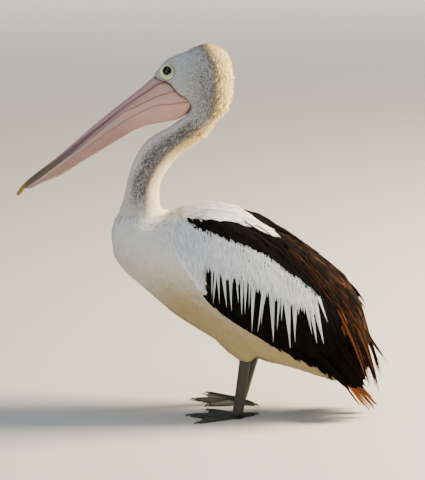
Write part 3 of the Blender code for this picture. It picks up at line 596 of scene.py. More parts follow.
def feather_mesh(name, grid, soft_normal, softness, values, places):
    """One mesh of many vanes. grid holds each vane's rows of corner points from root to tip."""
    vanes, rows, columns, _ = grid.shape
    index = np.arange(rows * columns).reshape(rows, columns)
    quads = np.stack([index[:-1, :-1], index[1:, :-1], index[1:, 1:], index[:-1, 1:]], axis=-1)
    quads = quads.reshape(-1, 4)
    faces = (quads[None] + (np.arange(vanes) * rows * columns)[:, None, None]).reshape(-1, 4)
    mesh = bpy.data.meshes.new(name)
    mesh.from_pydata(grid.reshape(-1, 3), [], faces)
    patch = PATCH_SIZE * np.stack(
        np.meshgrid(np.linspace(0, 1, columns), np.linspace(0, 1, rows)), axis=-1
    ).reshape(-1, 2)
    spots = (places[:, None] + patch[None]).reshape(-1, 2)
    layer = mesh.uv_layers.new(name="OFBake")
    layer.data.foreach_set("uv", spots[faces.ravel()].astype(np.float32).ravel())
    spread = np.ones((rows, columns))
    along = spread * np.linspace(0, 1, rows)[:, None]
    across = spread * np.linspace(-1, 1, columns)[None]
    each = {"along": np.tile(along.ravel(), vanes), "across": np.tile(across.ravel(), vanes)}
    for key, numbers in values.items():
        each[key] = np.repeat(np.broadcast_to(numbers, vanes), rows * columns)
    add_values(mesh, each)
    mesh.shade_smooth()
    steady = np.repeat(soft_normal, rows * columns, axis=0)
    own = normals_of(mesh)
    own *= np.sign((own * steady).sum(1, keepdims=True) + 1e-9)
    mixed = unit(own * (1.0 - softness) + steady * softness)
    mesh.normals_split_custom_set_from_vertices(mixed)
    return mesh


def grown(name, roots, lay, length, width, rise, outline, finish, seed, mess=7.0, columns=2,
          camber=0.0, softness=0.7, values=None):
    """A piece of coat: vanes that follow the skin from their roots the way the coat is combed.

    outline has a row for each line across the vane: share of its length, of its width, of its rise.
    """
    points, normals = roots
    dice = np.random.default_rng(seed)
    length = np.broadcast_to(length, len(points)) * dice.uniform(0.85, 1.15, len(points))
    width = np.broadcast_to(width, len(points)) * dice.uniform(0.85, 1.15, len(points))
    rise = np.broadcast_to(rise, len(points)) * dice.uniform(0.75, 1.10, len(points))
    yaw = np.radians(dice.normal(0.0, mess, len(points)))[:, None]
    place, up = points, normals
    rows = []
    reached = 0.0
    for share, wide, high in outline:
        if share > reached:
            ahead = place + heading * ((share - reached) * length)[:, None]
            snapped = [skin_tree.find_nearest(p) for p in ahead]
            place = np.array([s[0] for s in snapped])
            up = unit(0.5 * up + np.array([s[1] for s in snapped]))
        flat = lay(place) if callable(lay) else combed(place, lay)
        flat = unit(flat - up * (flat * up).sum(1, keepdims=True))
        heading = flat * np.cos(yaw) + np.cross(up, flat) * np.sin(yaw)
        middle = place + up * (high * rise)[:, None]
        side = np.cross(up, heading)
        reached = share
        line = []
        for across in np.linspace(-1.0, 1.0, columns):
            drop = camber * abs(across)
            aside = side * (0.5 * across * wide * width)[:, None]
            line.append(middle + aside - up * (drop * width * wide)[:, None])
        rows.append(np.stack(line, axis=1))
    grid = np.stack(rows, axis=1)
    marks = markings(points, owner_of(points))
    marks["tone"] = dice.random(len(points))
    marks.update({k: (v(points, marks, dice) if callable(v) else v) for k, v in (values or {}).items()})
    mesh = feather_mesh(name, grid, normals, softness, marks, unwrapped(points))
    coat = placed(name, mesh, finish)
    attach(coat, "root")


def lands_on(names):
    """Picks the skin's triangles that belong to these solids."""
    return np.array([any(n in owner for n in names) for owner in triangle_owner])


TUFT = ((0.0, 0.5, 0.0), (0.55, 1.0, 0.75), (1.0, 0.10, 1.0))
# golden cream of the nape's down: partly its own colour, partly painted sunlight
DOWN_CREAM_AND_PAINTED_SUN = (1.0, 0.75, 0.31)
DOWN_BROWN = (0.20, 0.115, 0.085)
# the face's grey-blue white is painted shade on white down
face_finish = plumage_material(
    "face_down", 0.9, 0.50, spread=0.28,
    white=(0.61, 0.62, 0.64), cream=DOWN_CREAM_AND_PAINTED_SUN, slate=(0.070, 0.072, 0.080), rust=DOWN_BROWN,
)
down_finish = plumage_material(
    "down", 0.9, 0.42, spread=0.16,
    white=(0.84, 0.83, 0.79), cream=DOWN_CREAM_AND_PAINTED_SUN, slate=(0.060, 0.052, 0.052), rust=DOWN_BROWN,
)


def speckle(points, marks, dice):
    """Every tuft of a mottled place is a little slate, and more than half of them are much darker."""
    share = marks["slate"]
    darker = dice.random(len(points)) < 0.60 * share
    return 0.18 * share + darker * dice.uniform(0.34, 0.80, len(points))


def neck_speckle_and_painted_shade(points, marks, dice):
    """The neck is mottled more thickly than the head; part of the extra darkness is painted shade."""
    share = marks["slate"]
    darker = dice.random(len(points)) < 0.80 * share
    return 0.42 * share + darker * dice.uniform(0.25, 0.58, len(points))


EYE_PLACE = (-0.0683, 0.8367)  # the middle of the bare ring round the eye, as (x, z)
RING_HALF = (0.0188, 0.0180)  # half the ring's length and half its height
in_ring = np.zeros(len(triangle_middle), bool)
for step in (0.0, 0.004):
    beside = (triangle_middle + combed(triangle_middle, BODY_LAY) * step)[:, [0, 2]] - EYE_PLACE
    in_ring |= np.linalg.norm(beside / RING_HALF, axis=1) < 1.0
near_face = (triangle_along < 0.10) & ~in_ring & (triangle_x < -0.02) & lands_on(["head"])
rest_of_head = ~near_face & ~in_ring & lands_on(["head"])
upper_neck = lands_on(["neck"]) & (triangle_along < 0.34)
lower_neck = lands_on(["neck"]) & ~upper_neck
grown(
    "down_face", sown(near_face, 0.0014, 11), BODY_LAY, length=0.0050, width=0.0013, rise=0.0012,
    outline=TUFT, finish=face_finish, seed=12, values={"slate": speckle},
)
grown(
    "down_head", sown(rest_of_head, 0.0015, 13), BODY_LAY, length=0.0080, width=0.0015, rise=0.0030,
    outline=TUFT, finish=face_finish, seed=14, mess=16.0, values={"slate": speckle},
)
grown(
    "down_neck_upper", sown(upper_neck, 0.0017, 15), BODY_LAY, length=0.0100, width=0.0017, rise=0.0036,
    outline=TUFT, finish=down_finish, seed=16, mess=16.0, values={"slate": neck_speckle_and_painted_shade},
)
neck_roots = sown(lower_neck, 0.0020, 17)
neck_reach = np.interp(spine_place(neck_roots[0])[0], (0.34, 0.5), (0.011, 0.017))
grown(
    "down_neck_lower", neck_roots, BODY_LAY, length=neck_reach, width=0.0021, rise=0.0036,
    outline=TUFT, finish=down_finish, seed=18, mess=12.0, values={"slate": neck_speckle_and_painted_shade},
)

triangle_marks = markings(triangle_middle, triangle_owner)
nape = (triangle_marks["cream"] > 0.40) & (triangle_along > 0.050) & (triangle_along < 0.34)
nape &= lands_on(["head", "neck"])
BRISTLE = ((0.0, 0.7, 0.0), (0.5, 1.0, 0.50), (1.0, 0.10, 1.0))
# the mane's warm white and golden cream are partly its own colour and partly painted sunlight
mane_finish = plumage_material(
    "mane", 0.9, 0.50,
    white=(0.92, 0.85, 0.70), cream=(1.0, 0.80, 0.34), slate=(0.20, 0.13, 0.08), rust=DOWN_BROWN,
)


def mane_speckle(points, marks, dice):
    """Dark bristles stand thickly where the mane begins and are few on the nape."""
    darker = dice.random(len(points)) < 0.12 + 0.5 * marks["slate"]
    return np.maximum(marks["slate"] * 0.3, 0.75 * darker)


nape_roots = sown(nape, 0.0030, 19)
nape_along = spine_place(nape_roots[0])[0]
BRISTLE_LENGTH = ((0.050, 0.006), (0.085, 0.0150), (0.19, 0.0165), (0.24, 0.0120), (0.34, 0.006))
nape_reach = np.interp(nape_along, *zip(*BRISTLE_LENGTH))
nape_cream = markings(nape_roots[0], owner_of(nape_roots[0]))["cream"]
nape_reach *= np.interp(nape_cream, (0.40, 0.95), (0.50, 1.0))
nape_rise = nape_reach * np.random.default_rng(27).uniform(0.05, 0.72, len(nape_reach))
grown(
    "nape_mane", nape_roots, BODY_LAY, length=nape_reach, width=0.0022, rise=nape_rise,
    outline=BRISTLE, finish=mane_finish, seed=20, mess=32.0, softness=0.35,
    values={"slate": mane_speckle},
)

# ---------------------------------------------------------------- body feathers
# Soft rounded contour feathers that overlap like slates: small on the breast, longer down the belly
# and flank, and shorter on the thighs.
CONTOUR = ((0.0, 0.45, 0.0), (0.35, 0.95, 0.55), (0.75, 1.0, 0.90), (1.0, 0.30, 1.0))
# the dark olive cream is painted shade with a warm painted glow under the body, over a little real cream
body_finish = plumage_material(
    "body_plumage", 0.85, 0.10, relief=0.25, spread=0.10,
    white=(0.72, 0.72, 0.70), cream=(0.35, 0.270, 0.138),
)
PLAIN = {"black": 0.0, "rust": 0.0}
triangle_black = triangle_marks["black"] > 0.5
wing_reach, wing_up = wing_place(triangle_middle)
wing_front = lands_on(["wing", "coverts"]) & ~triangle_black & (wing_up < 0.03) & (wing_reach < 0.22)
wing_front |= lands_on(["wing", "coverts"]) & (triangle_x < -0.02)
for step in (0.026, 0.040):
    feather_ends = triangle_middle + combed(triangle_middle, BODY_LAY) * step
    wing_front &= markings(feather_ends, triangle_owner)["black"] < 0.5
end_reach, end_up = wing_place(feather_ends)
# feathers that would end over the wing's lower edge lie tucked in under it and aren't made
tucked = end_up > np.interp(end_reach, *zip(*BLACK_LOW)) + 0.001
tucked &= (end_reach > 0.30) & (np.abs(triangle_y) > 0.03)
trunk_lands = lands_on(["trunk"]) & ~tucked & ~triangle_black | wing_front
BREAST_START = 0.47  # along the spine
BREAST_END = 0.66
breast_roots = sown(trunk_lands & (triangle_along < BREAST_END), 0.0052, 21)
breast_along = spine_place(breast_roots[0])[0]
grown(
    "feathers_breast", breast_roots, BODY_LAY,
    length=np.interp(breast_along, (BREAST_START, BREAST_END), (0.020, 0.034)),
    width=np.interp(breast_along, (BREAST_START, BREAST_END), (0.0065, 0.0115)),
    rise=0.0042, outline=CONTOUR, finish=body_finish, seed=22, columns=3, camber=0.10, values=PLAIN,
)
belly_roots = sown(trunk_lands & (triangle_along >= BREAST_END), 0.0066, 23)
belly_reach = np.interp(spine_place(belly_roots[0])[0], (BREAST_END, 1.10), (0.036, 0.046))
grown(
    "feathers_belly", belly_roots, BODY_LAY, length=belly_reach, width=0.0130, rise=0.0048,
    outline=CONTOUR, finish=body_finish, seed=24, columns=3, camber=0.10, values=PLAIN,
)
grown(
    "feathers_thigh", sown(lands_on(["thigh"]), 0.0046, 25), BODY_LAY,
    length=0.020, width=0.0075, rise=0.0036,
    outline=CONTOUR, finish=body_finish, seed=26, columns=3, camber=0.10, values=PLAIN,
)

# ---------------------------------------------------------------- white back
# Long narrow lance-shaped plumes that part over the shoulders and drape down between the wings,
# ending in a bright point where the two dark wings meet.
LANCE = (
    (0.0, 0.55, 0.0), (0.30, 1.0, 0.55), (0.65, 0.85, 0.90), (0.90, 0.35, 1.0), (1.0, 0.06, 1.0),
)
SNOWY = {"black": 0.0, "rust": 0.0, "cream": 0.0}
back_finish = plumage_material(
    "back_plumes", 0.75, 0.22, relief=0.35, spread=0.24, white=(0.84, 0.84, 0.83)
)
white_back = (over_black(triangle_middle) > 0.0) & (wing_reach > -0.02) & (wing_up > 0.0)
white_back &= lands_on(["wing", "trunk"]) & (triangle_x < 0.215)
back_roots = sown(white_back, 0.0064, 31)
back_reach = np.interp(back_roots[0][:, 0], (-0.10, 0.0, 0.14), (0.034, 0.062, 0.072))
back_heading = combed(back_roots[0], BODY_LAY)
clear = np.zeros(len(back_reach))  # how far each plume can reach before it lies on black
for step in np.linspace(0.008, 0.072, 9):
    still_white = (over_black(back_roots[0] + back_heading * step) > -0.003) & (clear > step - 0.009)
    clear = np.where(still_white, step, clear)
back_reach = np.maximum(np.minimum(back_reach, clear), 0.012)
grown(
    "plumes_back", back_roots, BODY_LAY, length=back_reach, width=0.005 + 0.09 * back_reach, rise=0.0060,
    outline=LANCE, finish=back_finish, seed=32, mess=5.0, columns=3, camber=0.14, values=SNOWY,
)
STREAK_END = np.array((0.2135, -0.0518, 0.4405))  # where the longest plumes meet between the wings


def to_streak(places):
    """The longest plumes all lie towards the one point."""
    return unit(STREAK_END - places)


streak = white_back & (triangle_x > 0.070) & (triangle_x < 0.190) & (triangle_y < 0.0)
streak_roots = sown(streak, 0.0085, 33)
streak_reach = np.linalg.norm(STREAK_END - streak_roots[0], axis=1)
streak_reach *= 0.98 * np.random.default_rng(34).uniform(0.62, 1.0, len(streak_reach))
grown(
    "plumes_streak", streak_roots, to_streak,
    length=streak_reach, width=0.0035 + 0.025 * streak_reach, rise=0.0072,
    outline=LANCE, finish=back_finish, seed=35, mess=0.8, columns=3, camber=0.14, values=SNOWY,
)

# ---------------------------------------------------------------- black wing feathers
# Stiff black quills and coverts, laid from the wrist back to the tip. Sun and wear have turned their
# edges brown, more and more towards the tail.
QUILL = ((0.0, 0.6, 0.0), (0.30, 1.0, 0.60), (0.60, 1.0, 0.90), (0.85, 0.70, 1.0), (1.0, 0.10, 1.0))
WING_LAY = np.array(
    (
        (0.00, 0.490, -22.0), (0.06, 0.490, -26.0), (0.14, 0.450, -34.0), (0.20, 0.400, -42.0),
        (0.26, 0.340, -50.0), (0.32, 0.260, -60.0), (0.37, 0.170, -68.0), (0.40, 0.110, -66.0),
        (0.10, 0.300, -50.0), (0.20, 0.200, -44.0), (0.30, 0.150, -50.0), (0.05, 0.330, -60.0),
        (0.15, 0.400, -38.0), (0.25, 0.270, -52.0),
    )
)


def edged(points, marks, dice):
    """Rust on some feathers much more than on others."""
    return marks["rust"] * dice.choice((0.0, 0.15, 0.40, 0.85), len(points), p=(0.45, 0.27, 0.18, 0.10))


quill_finish = plumage_material(
    "wing_quills", 0.85, 0.30, relief=0.5, spread=0.45, fringe=0.92, shine=0.01
)
under_panel = lands_on(["coverts"]) & (wing_reach > 0.06) & (over_black(triangle_middle) < 0.0)
wing_dark = triangle_black | under_panel
wing_roots = sown(wing_dark & (wing_reach > 0.042), 0.0086, 41)
quill_reach, quill_up = wing_place(wing_roots[0])
# along the top of the far wing the quills stand up behind the white back
far_top = (wing_roots[0][:, 1] > -0.05) & (quill_up > 0.118)
front_gap = np.maximum(quill_reach - np.interp(quill_up, *zip(*BLACK_FRONT)), 0.0)
grown(
    "quills_wing", wing_roots, WING_LAY,
    length=np.interp(quill_reach, (0.02, 0.06, 0.3, 0.6), (0.012, 0.035, 0.085, 0.080)),
    width=np.minimum(0.0040 + 0.25 * front_gap, 0.0125),
    rise=np.where(far_top, 0.0080, 0.0050),
    outline=QUILL, finish=quill_finish, seed=42, mess=4.0, columns=3, camber=0.12, softness=0.5,
    values={"black": 1.0, "rust": edged, "cream": 0.0, "slate": 0.0},
)


def on_wing(along, up):
    """Side-view places (x, z) from the folded wing's own along and up."""
    along, up = np.asarray(along, float), np.asarray(up, float)
    x = WRIST[0] + along * math.cos(WING_FALL) + up * math.sin(WING_FALL)
    return np.stack([x, WRIST[1] - along * math.sin(WING_FALL) + up * math.cos(WING_FALL)], axis=-1)


CLEAR_OF_BIRD = 0.3  # well outside the bird's widest place
STEEPEST_DROP = 0.012  # where the skin lies further in than this, a place keeps the depth it had


def cast_on(places, hand, start_y):
    """Drops side-view places straight onto the skin from one side; past it they keep their depth."""
    depth = np.array(start_y, float)
    tilt = np.tile((0.0, hand, 0.0), (len(places), 1))
    inward = Vector((0.0, -hand, 0.0))
    for k, (x, z) in enumerate(places):
        outside = Vector((x, hand * CLEAR_OF_BIRD, z))
        spot, slope, _, _ = skin_tree.ray_cast(outside, inward, CLEAR_OF_BIRD)
        if spot is not None and abs(spot.y) > abs(depth[k]) - STEEPEST_DROP:
            depth[k] = spot.y
            tilt[k] = slope
    return depth, tilt


HUNG_COLUMNS = 3  # corner points across each vane
HUNG_CAMBER = 0.12
HUNG_SOFTNESS = 0.6


def hung(name, roots, tips, hand, width, rise, outline, finish, seed, bow=0.0, values=None):
    """A piece of coat drawn in side view: each vane runs from its root to its tip over the skin."""
    dice = np.random.default_rng(seed)
    depth, up = cast_on(roots, hand, np.zeros(len(roots)))
    landed = depth != 0.0
    width, rise, bow = (np.broadcast_to(v, len(roots))[landed] for v in (width, rise, bow))
    values = {k: (v[landed] if isinstance(v, np.ndarray) else v) for k, v in (values or {}).items()}
    roots, tips, depth, up = roots[landed], tips[landed], depth[landed], up[landed]
    count = len(roots)
    run = tips - roots
    square = np.stack([-run[:, 1], run[:, 0]], axis=1)
    first_up = unit(up + np.array((0.0, 0.6 * hand, 0.0)))
    up = first_up
    middles, ups = [], []
    for share, _, high in outline:
        flat = roots + run * share + square * (4.0 * share * (1.0 - share) * bow)[:, None]
        depth, slope = cast_on(flat, hand, depth)
        up = unit(0.6 * up + 0.4 * slope)
        middles.append(np.stack([flat[:, 0], depth, flat[:, 1]], axis=1) + up * (high * rise)[:, None])
        ups.append(up)
    rows = []
    for k, (share, wide, _) in enumerate(outline):
        ahead = unit(middles[min(k + 1, len(middles) - 1)] - middles[max(k - 1, 0)])
        side = unit(np.cross(ups[k], ahead))
        line = []
        for across in np.linspace(-1.0, 1.0, HUNG_COLUMNS):
            aside = side * (0.5 * across * wide * width)[:, None]
            drop = HUNG_CAMBER * abs(across) * wide * width
            line.append(middles[k] + aside - ups[k] * drop[:, None])
        rows.append(np.stack(line, axis=1))
    grid = np.stack(rows, axis=1)
    starts = middles[0]
    marks = {"slate": 0.0, "cream": 0.0, "black": 0.0, "rust": 0.0, "tone": dice.random(count)}
    marks.update({k: (v(starts, marks, dice) if callable(v) else v) for k, v in values.items()})
    mesh = feather_mesh(name, grid, first_up, HUNG_SOFTNESS, marks, unwrapped(starts))
    coat = placed(name, mesh, finish)
    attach(coat, "root")
    return coat


def spread_over(top, bottom, low, high, spacing, seed):
    """Even random places between two side-view lines."""
    dice = np.random.default_rng(seed)
    box_low, box_high = bottom[:, 1].min(), top[:, 1].max()
    count = int(TRIES_ON_PANEL * (high - low) * (box_high - box_low) / spacing**2)
    along = dice.uniform(low, high, count)
    spots = np.stack([along, dice.uniform(box_low, box_high, count)], axis=1)
    under_top = spots[:, 1] < np.interp(spots[:, 0], *top.T)
    over_bottom = spots[:, 1] > np.interp(spots[:, 0], *bottom.T)
    spots = spots[under_top & over_bottom]
    _, first = np.unique(np.floor(spots / spacing).astype(int), axis=0, return_index=True)
    first.sort()
    return spots[first]


# ---------------------------------------------------------------- white wing panel
# Layers of long, thin, pointed white plumes that hang from the upper wing like a fringe. They lie
# close at the top and part below into single tapering points over the black quills.
PANEL_EDGE = (
    (0.010, 0.022), (0.036, 0.038), (0.071, 0.055), (0.111, 0.071), (0.154, 0.087), (0.196, 0.099),
    (0.235, 0.110), (0.283, 0.109), (0.321, 0.114), (0.371, 0.115), (0.390, 0.112), (0.405, 0.102),
    (0.424, 0.084),
)
PANEL_TOP = on_wing(*zip(*PANEL_EDGE))
PANEL_FOOT = (
    (0.038, -0.011), (0.075, -0.030), (0.116, -0.042), (0.153, -0.050), (0.168, -0.0530),
    (0.1390, -0.0095), (0.180, 0.004), (0.208, 0.012), (0.237, 0.025), (0.280, 0.036),
    (0.320, 0.046), (0.360, 0.060), (0.395, 0.070), (0.416, 0.078), (0.424, 0.084),
)
PANEL_GAPS = on_wing(*zip(*PANEL_FOOT))  # where the closed plumes end and the gaps of the fringe start
# each hanging point of the fringe: where it ends and where it leaves the panel (along, up), and how
# broad it is there
FRINGE = (
    (0.199, -0.051, 0.162, -0.006, 0.0048), (0.209, -0.058, 0.173, -0.007, 0.0076),
    (0.221, -0.049, 0.179, -0.003, 0.0087), (0.240, -0.045, 0.188, 0.006, 0.0109),
    (0.253, -0.043, 0.206, 0.009, 0.0120), (0.253, -0.017, 0.224, 0.013, 0.0065),
    (0.278, -0.036, 0.232, 0.020, 0.0098), (0.282, -0.029, 0.241, 0.022, 0.0087),
    (0.280, -0.012, 0.246, 0.033, 0.0065), (0.323, -0.053, 0.257, 0.031, 0.0130),
    (0.334, -0.045, 0.280, 0.044, 0.0160), (0.329, -0.026, 0.300, 0.015, 0.0055),
    (0.378, -0.040, 0.308, 0.039, 0.0150), (0.365, -0.011, 0.323, 0.046, 0.0087),
    (0.358, 0.014, 0.329, 0.051, 0.0076), (0.418, -0.026, 0.344, 0.052, 0.0170),
    (0.417, -0.008, 0.364, 0.057, 0.0150), (0.381, 0.050, 0.363, 0.067, 0.0065),
    (0.391, 0.059, 0.368, 0.077, 0.0076), (0.435, 0.032, 0.386, 0.074, 0.0110),
    (0.459, 0.021, 0.399, 0.074, 0.0130), (0.472, 0.030, 0.405, 0.084, 0.0150),
    (0.444, 0.076, 0.396, 0.105, 0.0087),
)
PLUME = (
    (0.0, 0.5, 0.0), (0.25, 0.95, 0.45), (0.55, 1.0, 0.80), (0.82, 0.60, 1.0), (1.0, 0.07, 1.0),
)
SPIKE = ((0.0, 0.8, 0.0), (0.25, 1.0, 0.6), (0.50, 0.72, 1.0), (0.78, 0.36, 1.1), (1.0, 0.06, 1.1))
# the panel's blue-grey white and slate are painted shade on white plumes
panel_finish = plumage_material(
    "panel_plumes", 0.75, 0.12, relief=0.3, spread=0.30,
    white=(0.72, 0.76, 0.81), slate=(0.40, 0.44, 0.52),
)
SIDES = (("left", -1.0), ("right", 1.0))
# how steeply the fringe hangs along the bird, as (x, degrees from straight back)
HANG = ((-0.04, -66.0), (0.02, -80.0), (0.06, -88.0), (0.20, -87.0), (0.26, -82.0), (0.31, -72.0))


def hang_angle(places):
    """How steeply the white fringe hangs at each side-view place, in radians."""
    return np.radians(np.interp(places[:, 0], *zip(*HANG)))


def pointed(angle, reach):
    """Side-view steps of these lengths at these angles."""
    return np.stack([np.cos(angle), np.sin(angle)], axis=1) * np.asarray(reach)[:, None]


def greyed(most):
    """A few plumes of the panel are greyer than the rest."""
    return lambda points, marks, dice: most * dice.random(len(points)) ** 3


SPIKES_EACH = 8  # vanes in each hanging point of the fringe; the first two reach right to its end
for side_name, hand in SIDES:
    dice = np.random.default_rng(51)
    foot = PANEL_GAPS - np.array((0.0, 0.006))
    tips = spread_over(PANEL_TOP, foot, low=-0.045, high=0.305, spacing=0.0046, seed=52)
    angle = hang_angle(tips) + np.radians(dice.normal(0.0, 2.5, len(tips)))
    room = np.interp(tips[:, 0] - 0.012, *PANEL_TOP.T) - tips[:, 1]
    room = room + dice.uniform(-0.003, 0.003, len(tips))
    reach = np.minimum(room / np.abs(np.sin(angle)), dice.uniform(0.055, 0.100, len(tips)))
    keep = reach > 0.014
    tips, angle, reach = tips[keep], angle[keep], reach[keep]
    coverts = hung(
        f"panel_{side_name}", tips - pointed(angle, reach), tips, hand,
        width=0.0036 + 0.035 * reach, rise=0.0062, outline=PLUME, finish=panel_finish, seed=53,
        values={"slate": greyed(0.7)},
    )
    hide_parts(f"coverts_{side_name}")
    roots, tips, widths = [], [], []
    for end_along, end_up, base_along, base_up, spread in FRINGE:
        tip, base = on_wing(end_along, end_up), on_wing(base_along, base_up)
        down = tip - base
        across = np.array((-down[1], down[0])) / np.linalg.norm(down)
        for k in range(SPIKES_EACH):
            lean = spread * dice.uniform(-0.42, 0.42)
            short = 0.0 if k < 2 else dice.uniform(0.0, 0.45)
            roots.append(base - down * dice.uniform(0.35, 0.70) + across * lean)
            tips.append(tip - down * short + across * lean * short)
            widths.append(spread * dice.uniform(0.30, 0.50))
    hung(
        f"fringe_{side_name}", np.array(roots), np.array(tips), hand,
        width=np.array(widths), rise=0.0072, outline=SPIKE, finish=panel_finish, seed=54,
        values={"slate": greyed(0.4)},
    )

# white feathers of the wing's front edge, which stand a little over the breast and flank
FRONT_EDGE = (
    (0.010, 0.030), (0.020, 0.008), (0.038, -0.011), (0.075, -0.030), (0.116, -0.042),
    (0.153, -0.050), (0.172, -0.0535),
)
for side_name, hand in SIDES:
    dice = np.random.default_rng(55)
    count = 90
    share = dice.uniform(0.0, 1.0, count)
    reach = np.interp(share, np.linspace(0.0, 1.0, len(FRONT_EDGE)), [e[0] for e in FRONT_EDGE])
    up = np.interp(reach, *zip(*FRONT_EDGE))
    tips = on_wing(reach, up - dice.uniform(-0.002, 0.003, count))
    angle = np.radians(np.interp(share, (0.0, 1.0), (-100.0, -76.0)) + dice.normal(0.0, 4.0, count))
    length = dice.uniform(0.030, 0.045, count)
    hung(
        f"wing_front_{side_name}", tips - pointed(angle, length), tips, hand,
        width=0.0085, rise=0.0070, outline=CONTOUR, finish=body_finish, seed=56,
    )

# the lowest black quills hang past the wing's lower edge in a ragged row
LOW_ROW_START = 0.186  # along the wing
for side_name, hand in SIDES:
    dice = np.random.default_rng(57)
    count = 230
    reach = dice.uniform(LOW_ROW_START, 0.595, count)
    low = np.interp(reach, *zip(*BLACK_LOW))
    tips = on_wing(reach, low - dice.uniform(-0.004, 0.004, count))
    slope = np.interp(reach, (0.17, 0.45, 0.63), (-56.0, -48.0, -46.0))
    angle = np.radians(slope + dice.normal(0.0, 3.0, count))
    length = np.minimum(dice.uniform(0.035, 0.060, count), 0.010 + 0.8 * (reach - LOW_ROW_START))
    hung(
        f"quills_low_{side_name}", tips - pointed(angle, length), tips, hand,
        width=0.0085, rise=0.0068, outline=QUILL, finish=quill_finish, seed=58, values={"black": 1.0},
    )

# a row of black quills laps over the panel's upper edge, and the long quills of the wing tip close it
for side_name, hand in SIDES:
    dice = np.random.default_rng(59)
    count = 110
    reach = np.sort(dice.uniform(0.048, 0.392, count))
    tips = on_wing(reach, np.interp(reach, *zip(*PANEL_EDGE)) + dice.uniform(-0.0025, 0.0025, count))
    slope = np.interp(reach, (0.04, 0.11, 0.20, 0.25, 0.37, 0.41), (22.0, 22.0, 15.0, 4.0, 0.0, -24.0))
    angle = np.radians(slope - 12.0 + dice.normal(0.0, 3.0, count)) - WING_FALL
    length = np.interp(reach, (0.040, 0.060, 0.120, 0.400), (0.014, 0.024, 0.045, 0.060))
    hung(
        f"quills_band_{side_name}", tips - pointed(angle, length), tips, hand,
        width=0.004 + 0.11 * length, rise=0.0088, outline=QUILL, finish=quill_finish, seed=60,
        values={"black": 1.0},
    )
    count = 30
    share = np.linspace(0.0, 1.0, count)
    reach = np.interp(share, (0.0, 0.5, 1.0), (0.588, 0.620, 0.600)) + dice.uniform(-0.006, 0.004, count)
    tips = on_wing(reach, np.interp(share, (0.0, 0.5, 1.0), (-0.020, 0.006, 0.036)))
    angle = np.radians(np.interp(share, (0.0, 1.0), (-46.0, -60.0)) + dice.normal(0.0, 1.5, count))
    length = dice.uniform(0.09, 0.13, count)
    hung(
        f"primaries_{side_name}_quills", tips - pointed(angle, length), tips, hand,
        width=0.0120, rise=0.0052, outline=QUILL, finish=quill_finish, seed=61,
        values={"black": 1.0, "rust": np.interp(share, (0.0, 0.7, 1.0), (0.0, 0.0, 0.3))},
    )

# ---------------------------------------------------------------- rusty streamers
# The worn inner quills and long scapulars: narrow loose vanes bleached from black to fox red, which
# fray out past the wing tip and the tail.
STREAM = ((0.0, 0.5, 0.0), (0.22, 1.0, 0.6), (0.50, 0.95, 0.9), (0.80, 0.60, 1.0), (1.0, 0.08, 1.0))
stream_finish = plumage_material(
    "streamers", 0.85, 0.25, relief=0.5, spread=0.45, fringe=0.50, shine=0.01, rust=(0.215, 0.075, 0.023)
)
# the longest, in bundles: start and end on the wing (along, up), spread at the start, number, rust
LONG_STREAMERS = (
    (0.405, 0.134, 0.600, 0.040, 0.012, 6, 0.15),
    (0.429, 0.124, 0.627, 0.020, 0.012, 12, 1.0),
    (0.455, 0.122, 0.650, 0.026, 0.010, 6, 0.10),
    (0.480, 0.120, 0.661, 0.013, 0.008, 7, 0.9),
    (0.549, 0.057, 0.619, -0.005, 0.003, 2, 0.8),
    (0.432, 0.118, 0.486, 0.092, 0.004, 2, 0.9),
    (0.468, 0.097, 0.505, 0.072, 0.002, 2, 0.8),
    (0.510, 0.066, 0.531, 0.040, 0.001, 1, 1.0),
)
LOOSE_WISP = ((0.475, 0.120, 0.628, 0.086, 0.003, 3, 0.7),)  # stands off the near wing alone
SCAPULAR_END = 0.515  # along the wing, where the long shoulder feathers end in a corner
SCAPULARS = 190
for side_name, hand in SIDES:
    dice = np.random.default_rng(61)
    roots, tips, widths, rusts = [], [], [], []
    for k in range(SCAPULARS):
        share = dice.random()
        along = 0.12 + 0.34 * share
        start = on_wing(along, np.interp(along, *zip(*BROWN_EDGE)) + dice.uniform(-0.008, 0.032))
        slope = np.interp(share, (0.0, 0.5, 1.0), (-34.0, -45.0, -56.0))
        angle = math.radians(slope + dice.normal(0.0, 3.0))
        length = dice.uniform(0.05, 0.10)
        room = SCAPULAR_END + dice.uniform(-0.012, 0.004) - along
        length = min(length, room / math.cos(angle + WING_FALL))
        roots.append(start)
        tips.append(start + np.array((math.cos(angle), math.sin(angle))) * length)
        widths.append(dice.uniform(0.0035, 0.0070))
        faded = dice.choice((0.0, 0.12, 0.32, 0.60), p=(0.46, 0.26, 0.20, 0.08))
        rusts.append((0.10 + 0.60 * share) * faded)
    bundles = LONG_STREAMERS + (LOOSE_WISP if hand < 0.0 else ())
    for along0, up0, along1, up1, spread, number, rust in bundles:
        start, end = on_wing(along0, up0), on_wing(along1, up1)
        across = unit(np.array((start[1] - end[1], end[0] - start[0])))
        for k in range(number):
            lean = dice.uniform(-1.0, 1.0)
            roots.append(start + across * lean * spread + (end - start) * dice.uniform(-0.10, 0.15))
            tips.append(end + across * lean * 0.004 - (end - start) * dice.uniform(0.0, 0.22) * (k > 0))
            widths.append(dice.uniform(0.0030, 0.0062))
            rusts.append(rust * dice.choice((0.05, 0.6, 1.0)))
    hung(
        f"streamers_{side_name}", np.array(roots), np.array(tips), hand,
        width=np.array(widths), rise=0.0085, outline=STREAM, finish=stream_finish, seed=62, bow=0.03,
        values={"black": 1.0, "rust": np.array(rusts)},
    )

